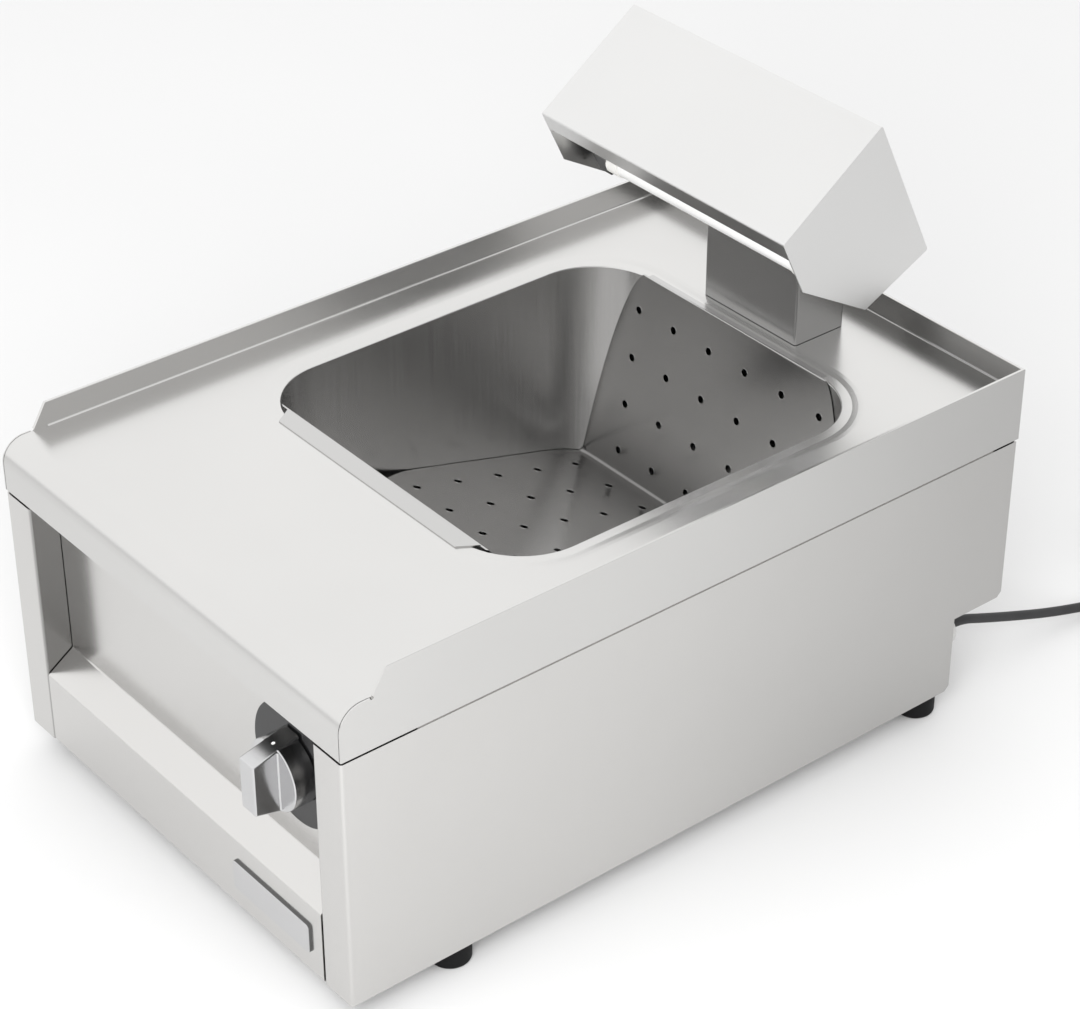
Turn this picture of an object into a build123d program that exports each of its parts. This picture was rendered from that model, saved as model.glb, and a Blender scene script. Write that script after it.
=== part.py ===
from build123d import *
import math
import os

# A countertop fries station: a stainless cabinet with a sunken well, a perforated
# tray that lifts out of it, and an infrared lamp in a hood on a pillar behind it.
# Frame: +X to the right, +Y to the back, +Z up, origin on the table under the
# middle of the box that holds everything except the power cord. Millimetres.

# Driving dimensions of the cabinet
lid_width = 400.0
lid_depth = 600.0
foot_height = 22.0
panel_height = 200.0
lid_gap = 2.0
skirt_height = 39.0
upstand_height = 19.0
nose_radius = 18.0
upstand_start = 25.2
upstand_slant = 11.4
corner_slit = 0.5
relief_radius = 1.3
top_sheet = 1.2
sheet = 1.0
bend_radius = 2.0
hem_round = 0.45
fold_round = 1.5
panel_inset = 0.5
rear_inset = 1.4
column_width = 30.5
return_depth = 36.0
panel_flange = 32.0
side_seam = 0.8
recess = 22.0
sill_rise = 15.0
apron_height = 58.4
edge_flange = 15.0
notch_depth = 50.0
notch_height = 64.5
notch_chamfer = 4.0
fit_gap = 0.3
rail_drop = 45.0
rail_leg = 15.0
rail_start = 60.0
rail_end = 24.0

# Driving dimensions of the well and the tray
open_width = 296.0
open_rear_gap = 98.0
open_radius = 55.0
open_start = 173.0
rim_width = 8.0
rim_drop = 0.7
rim_slope = 6.0
rim_round = 30.0
mouth_round = 0.9
well_depth = 190.0
well_foot_radius = 22.0
tray_sheet = 1.0
tray_gap = 0.6
hook_lap = 7.7
hook_inset = 7.0
hook_margin = 37.5
hook_taper = 9.5
hook_round = 0.8
rear_lap = 4.4
lift_angle = 36.0
floor_angle = 15.0
rear_lean = 9.0
crease_gap = 27.5
crease_depth = 165.9
tray_bend = 3.0
hole_diameter = 6.5
floor_columns = 7
floor_rows = 5
floor_side_margin = 28.0
floor_rear_margin = 24.0
floor_front_margin = 39.37
rear_columns = 6
rear_rows = 4
rear_side_margin = 48.0
rear_low_margin = 19.0
rear_top_margin = 29.3

# Driving dimensions of the knob, the dial and the badge plate
knob_inset = 84.3
knob_drop = 62.4
dial_radius = 45.5
dial_sheet = 0.8
knob_gap = 1.2
skirt_radius = 26.0
knob_skirt = 16.5
knob_wall = 3.0
hub_radius = 7.0
knob_pocket = 12.0
grip_width = 16.0
grip_height = 58.0
grip_tip = 39.5
grip_reach = 19.5
grip_round = 1.2
grip_root = 1.5
skirt_round = 1.0
dot_radius = 1.25
dot_setback = 2.2
dot_depth = 0.8
shaft_radius = 3.0
shaft_fit = 0.05
shaft_hold = 14.0
bush_radius = 5.0
bush_fit = 0.2
bush_reach = 1.6
bore_reach = 18.0
body_side = 42.0
body_depth = 30.0
screw_pitch = 28.0
screw_radius = 2.0
screw_head = 3.5
screw_head_height = 2.2
screw_length = 9.0
bulb_radius = 3.25
bulb_length = 90.0
bulb_level = 60.0
bulb_gap = 0.2
capillary_radius = 1.0
badge_width = 88.5
badge_height = 24.0
badge_sheet = 2.0
badge_round = 3.0
badge_inset = 88.5
badge_rise = 29.2

# Driving dimensions of the lamp pillar and the hood
pillar_width = 100.0
pillar_depth = 48.0
pillar_rear_gap = 34.5
pillar_round = 2.0
pillar_seam = 0.4
hood_length = 258.0
hood_tilt = 25.6
hood_overhang = 10.5
hood_corner_rise = 69.1
hood_floor = 65.0
hood_back = 125.0
hood_nose = 40.6
hood_nose_top = 106.8
hood_nose_low = 59.0
hood_lip = 15.5
end_round = 0.4
reflector_inset = 12.0
reflector_start = 4.6
reflector_back = 25.0
reflector_sheet = 0.8
lamp_forward = 13.1
lamp_rise = 43.9
lamp_radius = 9.0
lamp_half = 99.0
cap_radius = 10.0
cap_length = 12.0
cap_grip = 5.0
holder_side = 18.0
holder_length = 12.4
holder_neck = 8.0
wire_hole = 8.0
lead_hole = 5.0
hood_screw_pitch = 60.0
small_nut_radius = 4.0
small_nut_height = 3.0
screw_spare = 4.5
bracket_sheet = 2.0
bracket_height = 30.0
bracket_gap = 0.2
bracket_pitch_x = 70.0
bracket_pitch_y = 24.0

# Driving dimensions of the heater, the feet, the wiring and the power cord
heater_margin = 38.0
heater_height = 4.0
cover_height = 1.2
stud_radius = 2.5
block_width = 44.0
block_length = 22.0
block_height = 20.0
block_inset = 74.0
block_rear_gap = 16.0
block_cells = 4
block_bore = 1.8
lead_level = 10.0
heater_lead_diameter = 3.6
lead_bend = 12.0
capillary_bend = 8.0
foot_inset = 19.5
foot_front = 95.0
foot_rear_inset = 14.5
foot_radius = 15.0
foot_sole = 12.0
foot_bore = 5.2
foot_bore_depth = 11.0
foot_head = 4.5
foot_head_height = 3.0
foot_screw_spare = 7.0
nut_radius = 4.6
nut_height = 4.0
cord_diameter = 7.5
lead_diameter = 6.0
gland_inset = 30.0
gland_rise = 31.0
gland_radius = 14.0
gland_flange = 8.0
gland_dome = 16.0
gland_tip = 13.0
gland_round = 3.0
gland_thread = 10.0
gland_thread_length = 9.0
gland_nut_radius = 13.0
gland_nut_height = 5.0
cord_bore_gap = 0.15
coil_shift = 15.0
coil_gap = 250.0
coil_radius = 53.0
turn_gap = 0.6
turns_in = 2
coil_lift = 1.1
coil_tail = 28.0
tie_sheet = 0.8
tie_width = 8.0
tie_gap = 1.1
tie_lift = 0.2
plug_radius = 19.0
plug_height = 25.0
plug_lift = 0.4
plug_round = 3.0
boot_length = 22.0
boot_radius = 6.5
pin_radius = 2.4
pin_length = 19.0
pin_pitch = 19.0

# Shape of the cord from the gland to its coil: shares of the way back, aside and down
cord_shape = [
    (0.1453, 0.0053, 0.2077),
    (0.2831, 0.0263, 0.4984),
    (0.4320, 0.0921, 0.7726),
    (0.5810, 0.2632, 0.9263),
    (0.7114, 0.5395, 0.9782),
    (0.8305, 0.8289, 0.9979),
    (0.9311, 1.0, 1.0),
    (1.0, 1.0, 1.0),
]

# The knob stands ahead of the lid, so the box starts at the knob's front.
knob_reach = dial_sheet + knob_gap + knob_skirt + grip_reach - recess
front = -(lid_depth - knob_reach) / 2
rear = front + lid_depth

# Levels
base = foot_height
panel_top = base + panel_height
lid_low = panel_top + lid_gap
deck = lid_low + skirt_height
upstand_top = deck + upstand_height
ring_top = deck - rim_drop
well_top = ring_top - top_sheet
well_floor = deck - well_depth
notch_top = base + notch_height
apron_top = base + apron_height
sill_top = apron_top + sill_rise
plate_low = base + sheet
plate_top = plate_low + sheet

# Places
half_lid = lid_width / 2
half_panel = half_lid - panel_inset
column_inner = half_panel - column_width
panel_rear = rear - rear_inset
notch_front = rear - notch_depth
half_rear = half_panel - sheet - panel_inset
half_fascia = column_inner - side_seam
open_front = front + open_start
open_rear = rear - open_rear_gap
open_length = open_rear - open_front
well_middle = (open_front + open_rear) / 2
control_face = front + recess
knob_x = half_lid - knob_inset
knob_level = lid_low - knob_drop
badge_x = half_lid - badge_inset
gland_x = half_lid - gland_inset
foot_x = half_panel - foot_inset
foot_front_y = front + foot_front
foot_rear_y = notch_front - foot_rear_inset
pillar_front = rear - pillar_rear_gap - pillar_depth
pillar_middle = pillar_front + pillar_depth / 2
inner_hood = hood_length / 2 - sheet
fascia_plane = Plane.XZ.offset(-control_face)
hood_plane = Plane(
    origin=(0, pillar_front - hood_overhang, deck + hood_corner_rise),
    x_dir=(0, math.cos(math.radians(hood_tilt)), math.sin(math.radians(hood_tilt))),
    z_dir=(1, 0, 0),
)

os.makedirs("parts", exist_ok=True)


def keep(piece, name):
    """Label a finished piece and write it as its own file."""
    piece.part.label = name
    export_step(piece.part, f"parts/{name}.step")


def bend_radii(points):
    """The largest even arc at each inner point of a cord's route."""
    radii = []
    for before, here, after in zip(points, points[1:], points[2:]):
        come = Vector(*here) - Vector(*before)
        leave = Vector(*after) - Vector(*here)
        half_turn = math.radians(come.get_angle(leave)) / 2
        radii.append(0.45 * min(come.length, leave.length) / math.tan(half_turn))
    return radii


# Worktop: one sheet with a round nose, skirts all round and hemmed upstands on three sides
with BuildPart() as worktop:
    with BuildSketch(Plane.YZ):
        with BuildLine():
            FilletPolyline(
                (front, lid_low), (front, deck), (rear, deck), radius=nose_radius
            )
            offset(amount=top_sheet, side=Side.RIGHT)
        make_face()
    extrude(amount=half_lid - top_sheet, both=True)
    slit_edge = half_lid - top_sheet
    with BuildSketch(Plane.XY.offset(lid_low)):
        for side in (-1, 1):
            with Locations((side * (slit_edge - corner_slit / 2), front + upstand_start / 2)):
                Rectangle(corner_slit, upstand_start)
    extrude(amount=skirt_height, mode=Mode.SUBTRACT)
    for side in (-1, 1):
        skirt_plane = Plane.YZ.offset(side * slit_edge)
        with BuildSketch(skirt_plane):
            with BuildLine():
                nose = FilletPolyline(
                    (front, lid_low),
                    (front, deck),
                    (front + upstand_start, deck),
                    radius=nose_radius,
                )
                Polyline(
                    nose @ 1,
                    (front + upstand_start + upstand_slant, upstand_top),
                    (rear, upstand_top),
                    (rear, lid_low),
                    nose @ 0,
                )
            make_face()
            with Locations((front + upstand_start, deck)):
                Circle(relief_radius, mode=Mode.SUBTRACT)
        extrude(amount=side * top_sheet)
        with BuildSketch(skirt_plane):
            with BuildLine():
                Polyline(
                    (front + upstand_start, deck - top_sheet),
                    (front + upstand_start, deck),
                    (front + upstand_start + upstand_slant, upstand_top),
                    (rear, upstand_top),
                    (rear, deck - top_sheet),
                    close=True,
                )
            make_face()
            with Locations((front + upstand_start, deck)):
                Circle(relief_radius, mode=Mode.SUBTRACT)
        extrude(amount=-side * top_sheet)
    with BuildSketch(Plane.XY.offset(lid_low)):
        with Locations((0, rear - top_sheet / 2)):
            Rectangle(lid_width, top_sheet)
    extrude(amount=upstand_top - lid_low)
    with BuildSketch(Plane.XY.offset(deck - top_sheet)):
        with Locations((0, rear - 1.5 * top_sheet)):
            Rectangle(lid_width, top_sheet)
    extrude(amount=upstand_height + top_sheet)
    fillet(worktop.edges().group_by(Axis.Z)[-1], hem_round)
    fold_start = front + upstand_start + upstand_slant
    fold_side = half_lid - 2 * top_sheet
    fold_rear = rear - 2 * top_sheet
    bulge = fold_round * (1 - math.sqrt(0.5))
    for fold_plane, inner, length in (
        (Plane.XZ.offset(-fold_start), fold_side, fold_start - fold_rear),
        (Plane.XZ.offset(-fold_start), -fold_side, fold_start - fold_rear),
        (Plane.YZ.offset(-fold_side), fold_rear, 2 * fold_side),
    ):
        toward = -1 if inner > 0 else 1
        with BuildSketch(fold_plane):
            with BuildLine():
                Polyline(
                    (inner + toward * fold_round, deck),
                    (inner, deck),
                    (inner, deck + fold_round),
                )
                ThreePointArc(
                    (inner, deck + fold_round),
                    (inner + toward * bulge, deck + bulge),
                    (inner + toward * fold_round, deck),
                )
            make_face()
        extrude(amount=length)
    rim_reach = rim_width + rim_slope
    for level, reach in ((ring_top, rim_width), (deck, rim_reach)):
        with BuildSketch(Plane.XY.offset(level)):
            with Locations((0, well_middle)):
                RectangleRounded(open_width + 2 * reach, open_length + 2 * reach, open_radius + reach)
    loft(mode=Mode.SUBTRACT)
    with BuildSketch(Plane.XY.offset(well_top)):
        with Locations((0, well_middle)):
            RectangleRounded(
                open_width + 2 * rim_reach, open_length + 2 * rim_reach, open_radius + rim_reach
            )
    extrude(amount=top_sheet)
    with BuildSketch(Plane.XY.offset(ring_top)):
        with Locations((0, well_middle)):
            RectangleRounded(open_width, open_length, open_radius)
    extrude(amount=-top_sheet, mode=Mode.SUBTRACT)
    for level, reach, rounding in (
        (deck, rim_reach, rim_round),
        (ring_top, 0, mouth_round),
    ):
        edges = worktop.edges().filter_by(GeomType.LINE)
        edges = edges.filter_by_position(Axis.Z, level - fit_gap, level + fit_gap)
        side = open_width / 2 + reach + fit_gap
        edges = edges.filter_by_position(Axis.X, -side, side)
        edges = edges.filter_by_position(
            Axis.Y, open_front - reach - fit_gap, open_rear + reach + fit_gap
        )
        fillet(edges, rounding)
    with BuildSketch(Plane.XY.offset(deck)):
        with Locations((0, pillar_middle)):
            Circle(wire_hole)
            with GridLocations(bracket_pitch_x, bracket_pitch_y, 2, 2):
                Circle(screw_radius + fit_gap)
    extrude(amount=-top_sheet, mode=Mode.SUBTRACT)
keep(worktop, "worktop")

# Well: a drawn pan whose flange is welded under the sunken rim of the worktop
with BuildPart() as well:
    with BuildSketch(Plane.XY.offset(well_top)):
        with Locations((0, well_middle)):
            RectangleRounded(
                open_width + 2 * sheet, open_length + 2 * sheet, open_radius + sheet
            )
    extrude(amount=-(well_top - well_floor + sheet))
    fillet(well.edges().group_by(Axis.Z)[0], well_foot_radius + sheet)
    offset(amount=-sheet, openings=well.faces().sort_by(Axis.Z)[-1])
    with BuildSketch(Plane.XY.offset(well_top - sheet)):
        with Locations((0, well_middle)):
            RectangleRounded(
                open_width + 2 * rim_width, open_length + 2 * rim_width, open_radius + rim_width
            )
            RectangleRounded(open_width, open_length, open_radius, mode=Mode.SUBTRACT)
    extrude(amount=sheet)
keep(well, "well")

# Tray: one bent perforated sheet that hooks over the front rim and rests on the rear rim
lift = Vector(0, -math.sin(math.radians(lift_angle)), math.cos(math.radians(lift_angle)))
crease = Vector(0, open_rear - crease_gap, deck - crease_depth)
flange_top = ring_top + tray_sheet
floor_slope = math.tan(math.radians(floor_angle))
front_slope = math.tan(math.radians(lift_angle))
hook_front = open_front - hook_lap
hook_corner = open_front + hook_inset
floor_front = (
    crease.Y
    - (flange_top - crease.Z - (crease.Y - hook_corner) / front_slope)
    / (floor_slope - 1 / front_slope)
)
floor_front_level = crease.Z + (crease.Y - floor_front) * floor_slope
rear_corner = crease.Y + (flange_top - crease.Z) * math.tan(math.radians(rear_lean))
floor_length = (crease.Y - floor_front) / math.cos(math.radians(floor_angle))
rear_length = (flange_top - crease.Z) / math.cos(math.radians(rear_lean))
floor_pitch_x = (open_width - 2 * floor_side_margin) / (floor_columns - 1)
floor_pitch_y = (floor_length - floor_rear_margin - floor_front_margin) / (floor_rows - 1)
rear_pitch_x = (open_width - 2 * rear_side_margin) / (rear_columns - 1)
rear_pitch_y = (rear_length - rear_low_margin - rear_top_margin) / (rear_rows - 1)
floor_plane = Plane(
    origin=crease,
    x_dir=(1, 0, 0),
    z_dir=(0, math.sin(math.radians(floor_angle)), math.cos(math.radians(floor_angle))),
)
rear_plane = Plane(
    origin=crease,
    x_dir=(1, 0, 0),
    z_dir=(0, -math.cos(math.radians(rear_lean)), math.sin(math.radians(rear_lean))),
)
with BuildPart() as perforated_tray:
    with BuildSketch(Plane.YZ):
        with BuildLine():
            FilletPolyline(
                (hook_corner, flange_top),
                (floor_front, floor_front_level),
                (crease.Y, crease.Z),
                (rear_corner, flange_top),
                radius=tray_bend,
            )
            offset(amount=tray_sheet, side=Side.RIGHT)
        make_face()
    extrude(amount=open_width / 2, both=True)
    with BuildSketch(Plane.XY.offset(flange_top)):
        with Locations((0, well_middle)):
            RectangleRounded(
                open_width - 2 * tray_gap, open_length - 2 * tray_gap, open_radius - tray_gap
            )
    extrude(amount=-well_depth, mode=Mode.INTERSECT)
    with BuildSketch(Plane.XY.offset(flange_top)):
        with Locations((0, well_middle)):
            RectangleRounded(
                open_width - 2 * tray_gap, open_length - 2 * tray_gap, open_radius - tray_gap
            )
    extrude(amount=2 * well_depth, dir=-lift, mode=Mode.INTERSECT)
    hook_half = open_width / 2 - hook_margin
    with BuildSketch(Plane.XY.offset(ring_top)):
        with BuildLine():
            Polyline(
                (-hook_half, hook_corner),
                (hook_taper - hook_half, hook_front),
                (hook_half - hook_taper, hook_front),
                (hook_half, hook_corner),
                close=True,
            )
        make_face()
    extrude(amount=tray_sheet)
    edges = perforated_tray.edges().filter_by(Axis.X)
    edges = edges.filter_by_position(Axis.Z, flange_top - fit_gap, flange_top + fit_gap)
    fillet(edges.filter_by_position(Axis.Y, hook_front - fit_gap, hook_front + fit_gap), hook_round)
    rear_reach = open_rear + rear_lap - rear_corner
    flange_half = open_width / 2 - open_radius + math.sqrt(
        open_radius**2 - (open_radius - (open_rear - rear_corner)) ** 2
    )
    with BuildSketch(Plane.XY.offset(ring_top)):
        with Locations((0, rear_corner + rear_reach / 2)):
            Rectangle(2 * (flange_half - rim_width), rear_reach)
    extrude(amount=tray_sheet)
    with BuildSketch(floor_plane):
        with Locations((0, -floor_rear_margin - floor_pitch_y * (floor_rows - 1) / 2)):
            with GridLocations(floor_pitch_x, floor_pitch_y, floor_columns, floor_rows):
                Circle(hole_diameter / 2)
    extrude(amount=2 * tray_sheet, both=True, mode=Mode.SUBTRACT)
    with BuildSketch(rear_plane):
        with Locations((0, rear_low_margin + rear_pitch_y * (rear_rows - 1) / 2)):
            with GridLocations(rear_pitch_x, rear_pitch_y, rear_columns, rear_rows):
                Circle(hole_diameter / 2)
    extrude(amount=2 * tray_sheet, both=True, mode=Mode.SUBTRACT)
keep(perforated_tray, "perforated_tray")

# Side panels: a front column folded back on itself, a rear notch and a bottom flange
with BuildPart() as side_panel_right:
    with BuildSketch(Plane.XY.offset(base)):
        with BuildLine():
            FilletPolyline(
                (column_inner, front + return_depth),
                (column_inner, front),
                (half_panel, front),
                (half_panel, panel_rear),
                radius=bend_radius,
            )
            offset(amount=sheet, side=Side.LEFT)
        make_face()
    extrude(amount=panel_height)
    with BuildSketch(Plane.YZ.offset(half_panel)):
        with BuildLine():
            Polyline(
                (rear, notch_top + notch_chamfer),
                (panel_rear, notch_top + notch_chamfer),
                (panel_rear - notch_chamfer, notch_top),
                (notch_front, notch_top),
                (notch_front, base + notch_chamfer),
                (notch_front - notch_chamfer, base),
                (rear, base),
                close=True,
            )
        make_face()
    extrude(amount=-column_width, mode=Mode.SUBTRACT)
    flange_start = front + return_depth + edge_flange
    flange_end = notch_front - notch_chamfer - fit_gap
    with BuildSketch(Plane.XY.offset(base)):
        with Locations((half_panel - panel_flange / 2, (flange_start + flange_end) / 2)):
            Rectangle(panel_flange, flange_end - flange_start)
        for place in (foot_front_y, foot_rear_y):
            with Locations((foot_x, place)):
                Circle(stud_radius + fit_gap, mode=Mode.SUBTRACT)
    extrude(amount=sheet)
keep(side_panel_right, "side_panel_right")

with BuildPart() as side_panel_left:
    mirror(side_panel_right.part, about=Plane.YZ)
keep(side_panel_left, "side_panel_left")

# Rails: angles inside the side panels that carry the worktop
with BuildPart() as rail_right:
    rail_face = half_panel - sheet
    with BuildSketch(Plane.XZ.offset(-(front + rail_start))):
        with BuildLine():
            Polyline(
                (rail_face, panel_top - rail_drop),
                (rail_face, deck - top_sheet),
                (rail_face - rail_leg, deck - top_sheet),
            )
            offset(amount=sheet, side=Side.LEFT)
        make_face()
    extrude(amount=-(lid_depth - rail_start - rail_end))
keep(rail_right, "rail_right")

with BuildPart() as rail_left:
    mirror(rail_right.part, about=Plane.YZ)
keep(rail_left, "rail_left")

# Fascia: control face, sill and apron folded from one sheet, with side flanges
with BuildPart() as fascia:
    with BuildSketch(Plane.YZ):
        with BuildLine():
            FilletPolyline(
                (control_face, panel_top),
                (control_face, sill_top),
                (front, apron_top),
                (front, base),
                (front + edge_flange, base),
                radius=bend_radius,
            )
            offset(amount=sheet, side=Side.LEFT)
        make_face()
    extrude(amount=half_fascia, both=True)
    flange_depth = return_depth - recess
    with BuildSketch(Plane.XY.offset(sill_top + bend_radius)):
        for side in (-1, 1):
            with Locations((side * (half_fascia - sheet / 2), control_face + flange_depth / 2)):
                Rectangle(sheet, flange_depth)
    extrude(amount=panel_top - sill_top - bend_radius)
    with BuildSketch(fascia_plane):
        with Locations((knob_x, knob_level)):
            Circle(bush_radius + bush_fit)
            with GridLocations(screw_pitch, screw_pitch, 2, 1):
                Circle(screw_radius + bush_fit)
    extrude(amount=-2 * sheet, mode=Mode.SUBTRACT)
keep(fascia, "fascia")

# Rear panel: upper wall, ceiling of the notch and lower wall folded from one sheet
gland_level = base + gland_rise
with BuildPart() as rear_panel:
    with BuildSketch(Plane.YZ):
        with BuildLine():
            FilletPolyline(
                (panel_rear, panel_top),
                (panel_rear, notch_top),
                (notch_front, notch_top),
                (notch_front, base),
                (notch_front - edge_flange, base),
                radius=bend_radius,
            )
            offset(amount=sheet, side=Side.RIGHT)
        make_face()
    extrude(amount=half_rear, both=True)
    with BuildSketch(Plane.XY.offset(base)):
        for side in (-1, 1):
            with Locations((side * half_panel, notch_front - edge_flange / 2 - sheet)):
                Rectangle(2 * (panel_flange + fit_gap), edge_flange)
    extrude(amount=sheet, mode=Mode.SUBTRACT)
    with BuildSketch(Plane.XZ.offset(-notch_front)):
        with Locations((gland_x, gland_level)):
            Circle(gland_thread + cord_bore_gap)
    extrude(amount=2 * sheet, both=True, mode=Mode.SUBTRACT)
keep(rear_panel, "rear_panel")

# Base plate: lies on the flanges of the panels
with BuildPart() as base_plate:
    plate_front = front + bend_radius + fit_gap
    plate_rear = notch_front - bend_radius - fit_gap
    with BuildSketch(Plane.XY.offset(plate_low)):
        with Locations((0, (front + return_depth + fit_gap + plate_rear) / 2)):
            Rectangle(2 * half_rear, plate_rear - front - return_depth - fit_gap)
        with Locations((0, (plate_front + plate_rear) / 2)):
            Rectangle(2 * half_fascia - 2 * fit_gap, plate_rear - plate_front)
        for side in (-1, 1):
            for place in (foot_front_y, foot_rear_y):
                with Locations((side * foot_x, place)):
                    Circle(stud_radius + fit_gap, mode=Mode.SUBTRACT)
    extrude(amount=sheet)
keep(base_plate, "base_plate")

# Feet: round rubber buttons, each held by a screw with a nut above the base plate
foot_places = {
    "front_left": (-foot_x, foot_front_y),
    "front_right": (foot_x, foot_front_y),
    "rear_left": (-foot_x, foot_rear_y),
    "rear_right": (foot_x, foot_rear_y),
}
for corner, (place_x, place_y) in foot_places.items():
    foot_plane = Plane(origin=(place_x, place_y, 0), x_dir=(1, 0, 0), z_dir=(0, -1, 0))
    with BuildPart() as foot:
        with BuildSketch(foot_plane):
            with BuildLine():
                sole = Polyline(
                    (stud_radius + fit_gap, foot_height),
                    (stud_radius + fit_gap, foot_bore_depth),
                    (foot_bore, foot_bore_depth),
                    (foot_bore, 0),
                    (foot_sole, 0),
                )
                side_arc = JernArc(
                    start=sole @ 1,
                    tangent=(1, 0),
                    radius=foot_radius - foot_sole,
                    arc_size=90,
                )
                Polyline(side_arc @ 1, (foot_radius, foot_height), sole @ 0)
            make_face()
        revolve(axis=Axis((place_x, place_y, 0), (0, 0, 1)))
    keep(foot, f"foot_{corner}")

with BuildPart() as foot_screws:
    with BuildSketch(Plane.XY.offset(foot_bore_depth - foot_head_height)):
        with Locations(*foot_places.values()):
            Circle(foot_head)
    extrude(amount=foot_head_height)
    with BuildSketch(Plane.XY.offset(foot_bore_depth)):
        with Locations(*foot_places.values()):
            Circle(stud_radius)
    extrude(amount=plate_top + foot_screw_spare - foot_bore_depth)
keep(foot_screws, "foot_screws")

with BuildPart() as foot_nuts:
    with BuildSketch(Plane.XY.offset(plate_top)):
        with Locations(*foot_places.values()):
            RegularPolygon(nut_radius, 6)
            Circle(stud_radius + shaft_fit, mode=Mode.SUBTRACT)
    extrude(amount=nut_height)
keep(foot_nuts, "foot_nuts")

# Dial plate: a flat dark disc under the knob
with BuildPart() as dial_plate:
    with BuildSketch(fascia_plane):
        with Locations((knob_x, knob_level)):
            Circle(dial_radius)
            Circle(bush_radius + bush_fit, mode=Mode.SUBTRACT)
            with GridLocations(screw_pitch, screw_pitch, 2, 1):
                Circle(screw_radius + bush_fit, mode=Mode.SUBTRACT)
    extrude(amount=dial_sheet)
keep(dial_plate, "dial_plate")

# Knob: a hollow round skirt with a tapered bar grip and a bore for the shaft
dial_face = control_face - dial_sheet
knob_back = dial_face - knob_gap
skirt_face = knob_back - knob_skirt
grip_face = skirt_face - grip_reach
knob_plane = Plane.XZ.offset(-knob_back)
grip_slope = (grip_height - grip_tip) / 2 / (grip_reach + knob_skirt)
dot_plane = Plane(
    origin=(
        knob_x,
        skirt_face + dot_setback,
        knob_level + grip_tip / 2 + grip_slope * (grip_reach + dot_setback),
    ),
    x_dir=(1, 0, 0),
    z_dir=(0, -grip_slope, 1),
)
with BuildPart() as knob:
    with BuildSketch(knob_plane):
        with Locations((knob_x, knob_level)):
            Circle(skirt_radius)
    extrude(amount=knob_skirt)
    fillet(knob.edges().group_by(Axis.Y)[0], skirt_round)
    with BuildSketch(Plane.YZ.offset(knob_x)):
        with BuildLine():
            Polyline(
                (knob_back, knob_level - grip_height / 2),
                (knob_back, knob_level + grip_height / 2),
                (grip_face, knob_level + grip_tip / 2),
                (grip_face, knob_level - grip_tip / 2),
                close=True,
            )
        make_face()
    extrude(amount=grip_width / 2, both=True)
    grip_edges = knob.edges().filter_by(lambda edge: edge.center().Y < skirt_face - grip_round)
    fillet(grip_edges, grip_round)
    root_bulge = grip_root * (1 - math.sqrt(0.5))
    root_half = math.sqrt((skirt_radius - skirt_round) ** 2 - (grip_width / 2 + grip_root) ** 2)
    for side in (-1, 1):
        grip_side = knob_x + side * grip_width / 2
        with BuildSketch(Plane.XY.offset(knob_level)):
            with BuildLine():
                Polyline(
                    (grip_side + side * grip_root, skirt_face),
                    (grip_side, skirt_face),
                    (grip_side, skirt_face - grip_root),
                )
                ThreePointArc(
                    (grip_side, skirt_face - grip_root),
                    (grip_side + side * root_bulge, skirt_face - root_bulge),
                    (grip_side + side * grip_root, skirt_face),
                )
            make_face()
        extrude(amount=root_half, both=True)
    for side in (-1, 1):
        with BuildSketch(Plane.YZ.offset(knob_x)):
            with BuildLine():
                Polyline(
                    (knob_back, knob_level + side * grip_height / 2),
                    (grip_face, knob_level + side * grip_tip / 2),
                    (grip_face, knob_level + side * grip_height / 2),
                    close=True,
                )
            make_face()
        extrude(amount=grip_width / 2, both=True, mode=Mode.SUBTRACT)
    with BuildSketch(knob_plane):
        with Locations((knob_x, knob_level)):
            Circle(skirt_radius - knob_wall)
            Circle(hub_radius, mode=Mode.SUBTRACT)
    extrude(amount=knob_pocket, mode=Mode.SUBTRACT)
    with BuildSketch(knob_plane):
        with Locations((knob_x, knob_level)):
            Circle(shaft_radius + shaft_fit)
    extrude(amount=shaft_hold, mode=Mode.SUBTRACT)
    with BuildSketch(dot_plane):
        Circle(dot_radius)
    extrude(amount=-dot_depth, mode=Mode.SUBTRACT)
keep(knob, "knob")

with BuildPart() as knob_dot:
    with BuildSketch(dot_plane):
        Circle(dot_radius)
    extrude(amount=-dot_depth)
keep(knob_dot, "knob_dot")

# Thermostat: body and bush behind the fascia, its shaft, its two screws and its bulb
body_face = control_face + sheet
body_rear = body_face + body_depth
body_plane = Plane.XZ.offset(-body_face)
with BuildPart() as thermostat_body:
    with BuildSketch(body_plane):
        with Locations((knob_x, knob_level)):
            RectangleRounded(body_side, body_side, bend_radius)
    extrude(amount=-body_depth)
    with BuildSketch(body_plane):
        with Locations((knob_x, knob_level)):
            Circle(bush_radius)
    extrude(amount=sheet + bush_reach)
    with BuildSketch(body_plane.offset(sheet + bush_reach)):
        with Locations((knob_x, knob_level)):
            Circle(shaft_radius + shaft_fit)
    extrude(amount=-(sheet + bush_reach + bore_reach), mode=Mode.SUBTRACT)
    with BuildSketch(body_plane):
        with Locations((knob_x, knob_level)):
            with GridLocations(screw_pitch, screw_pitch, 2, 1):
                Circle(screw_radius + shaft_fit)
    extrude(amount=-screw_length, mode=Mode.SUBTRACT)
keep(thermostat_body, "thermostat_body")

with BuildPart() as thermostat_shaft:
    with BuildSketch(Plane.XZ.offset(-(body_face + bore_reach - fit_gap))):
        with Locations((knob_x, knob_level)):
            Circle(shaft_radius)
    extrude(amount=body_face + bore_reach - knob_back + shaft_hold - 2 * fit_gap)
keep(thermostat_shaft, "thermostat_shaft")

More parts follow.
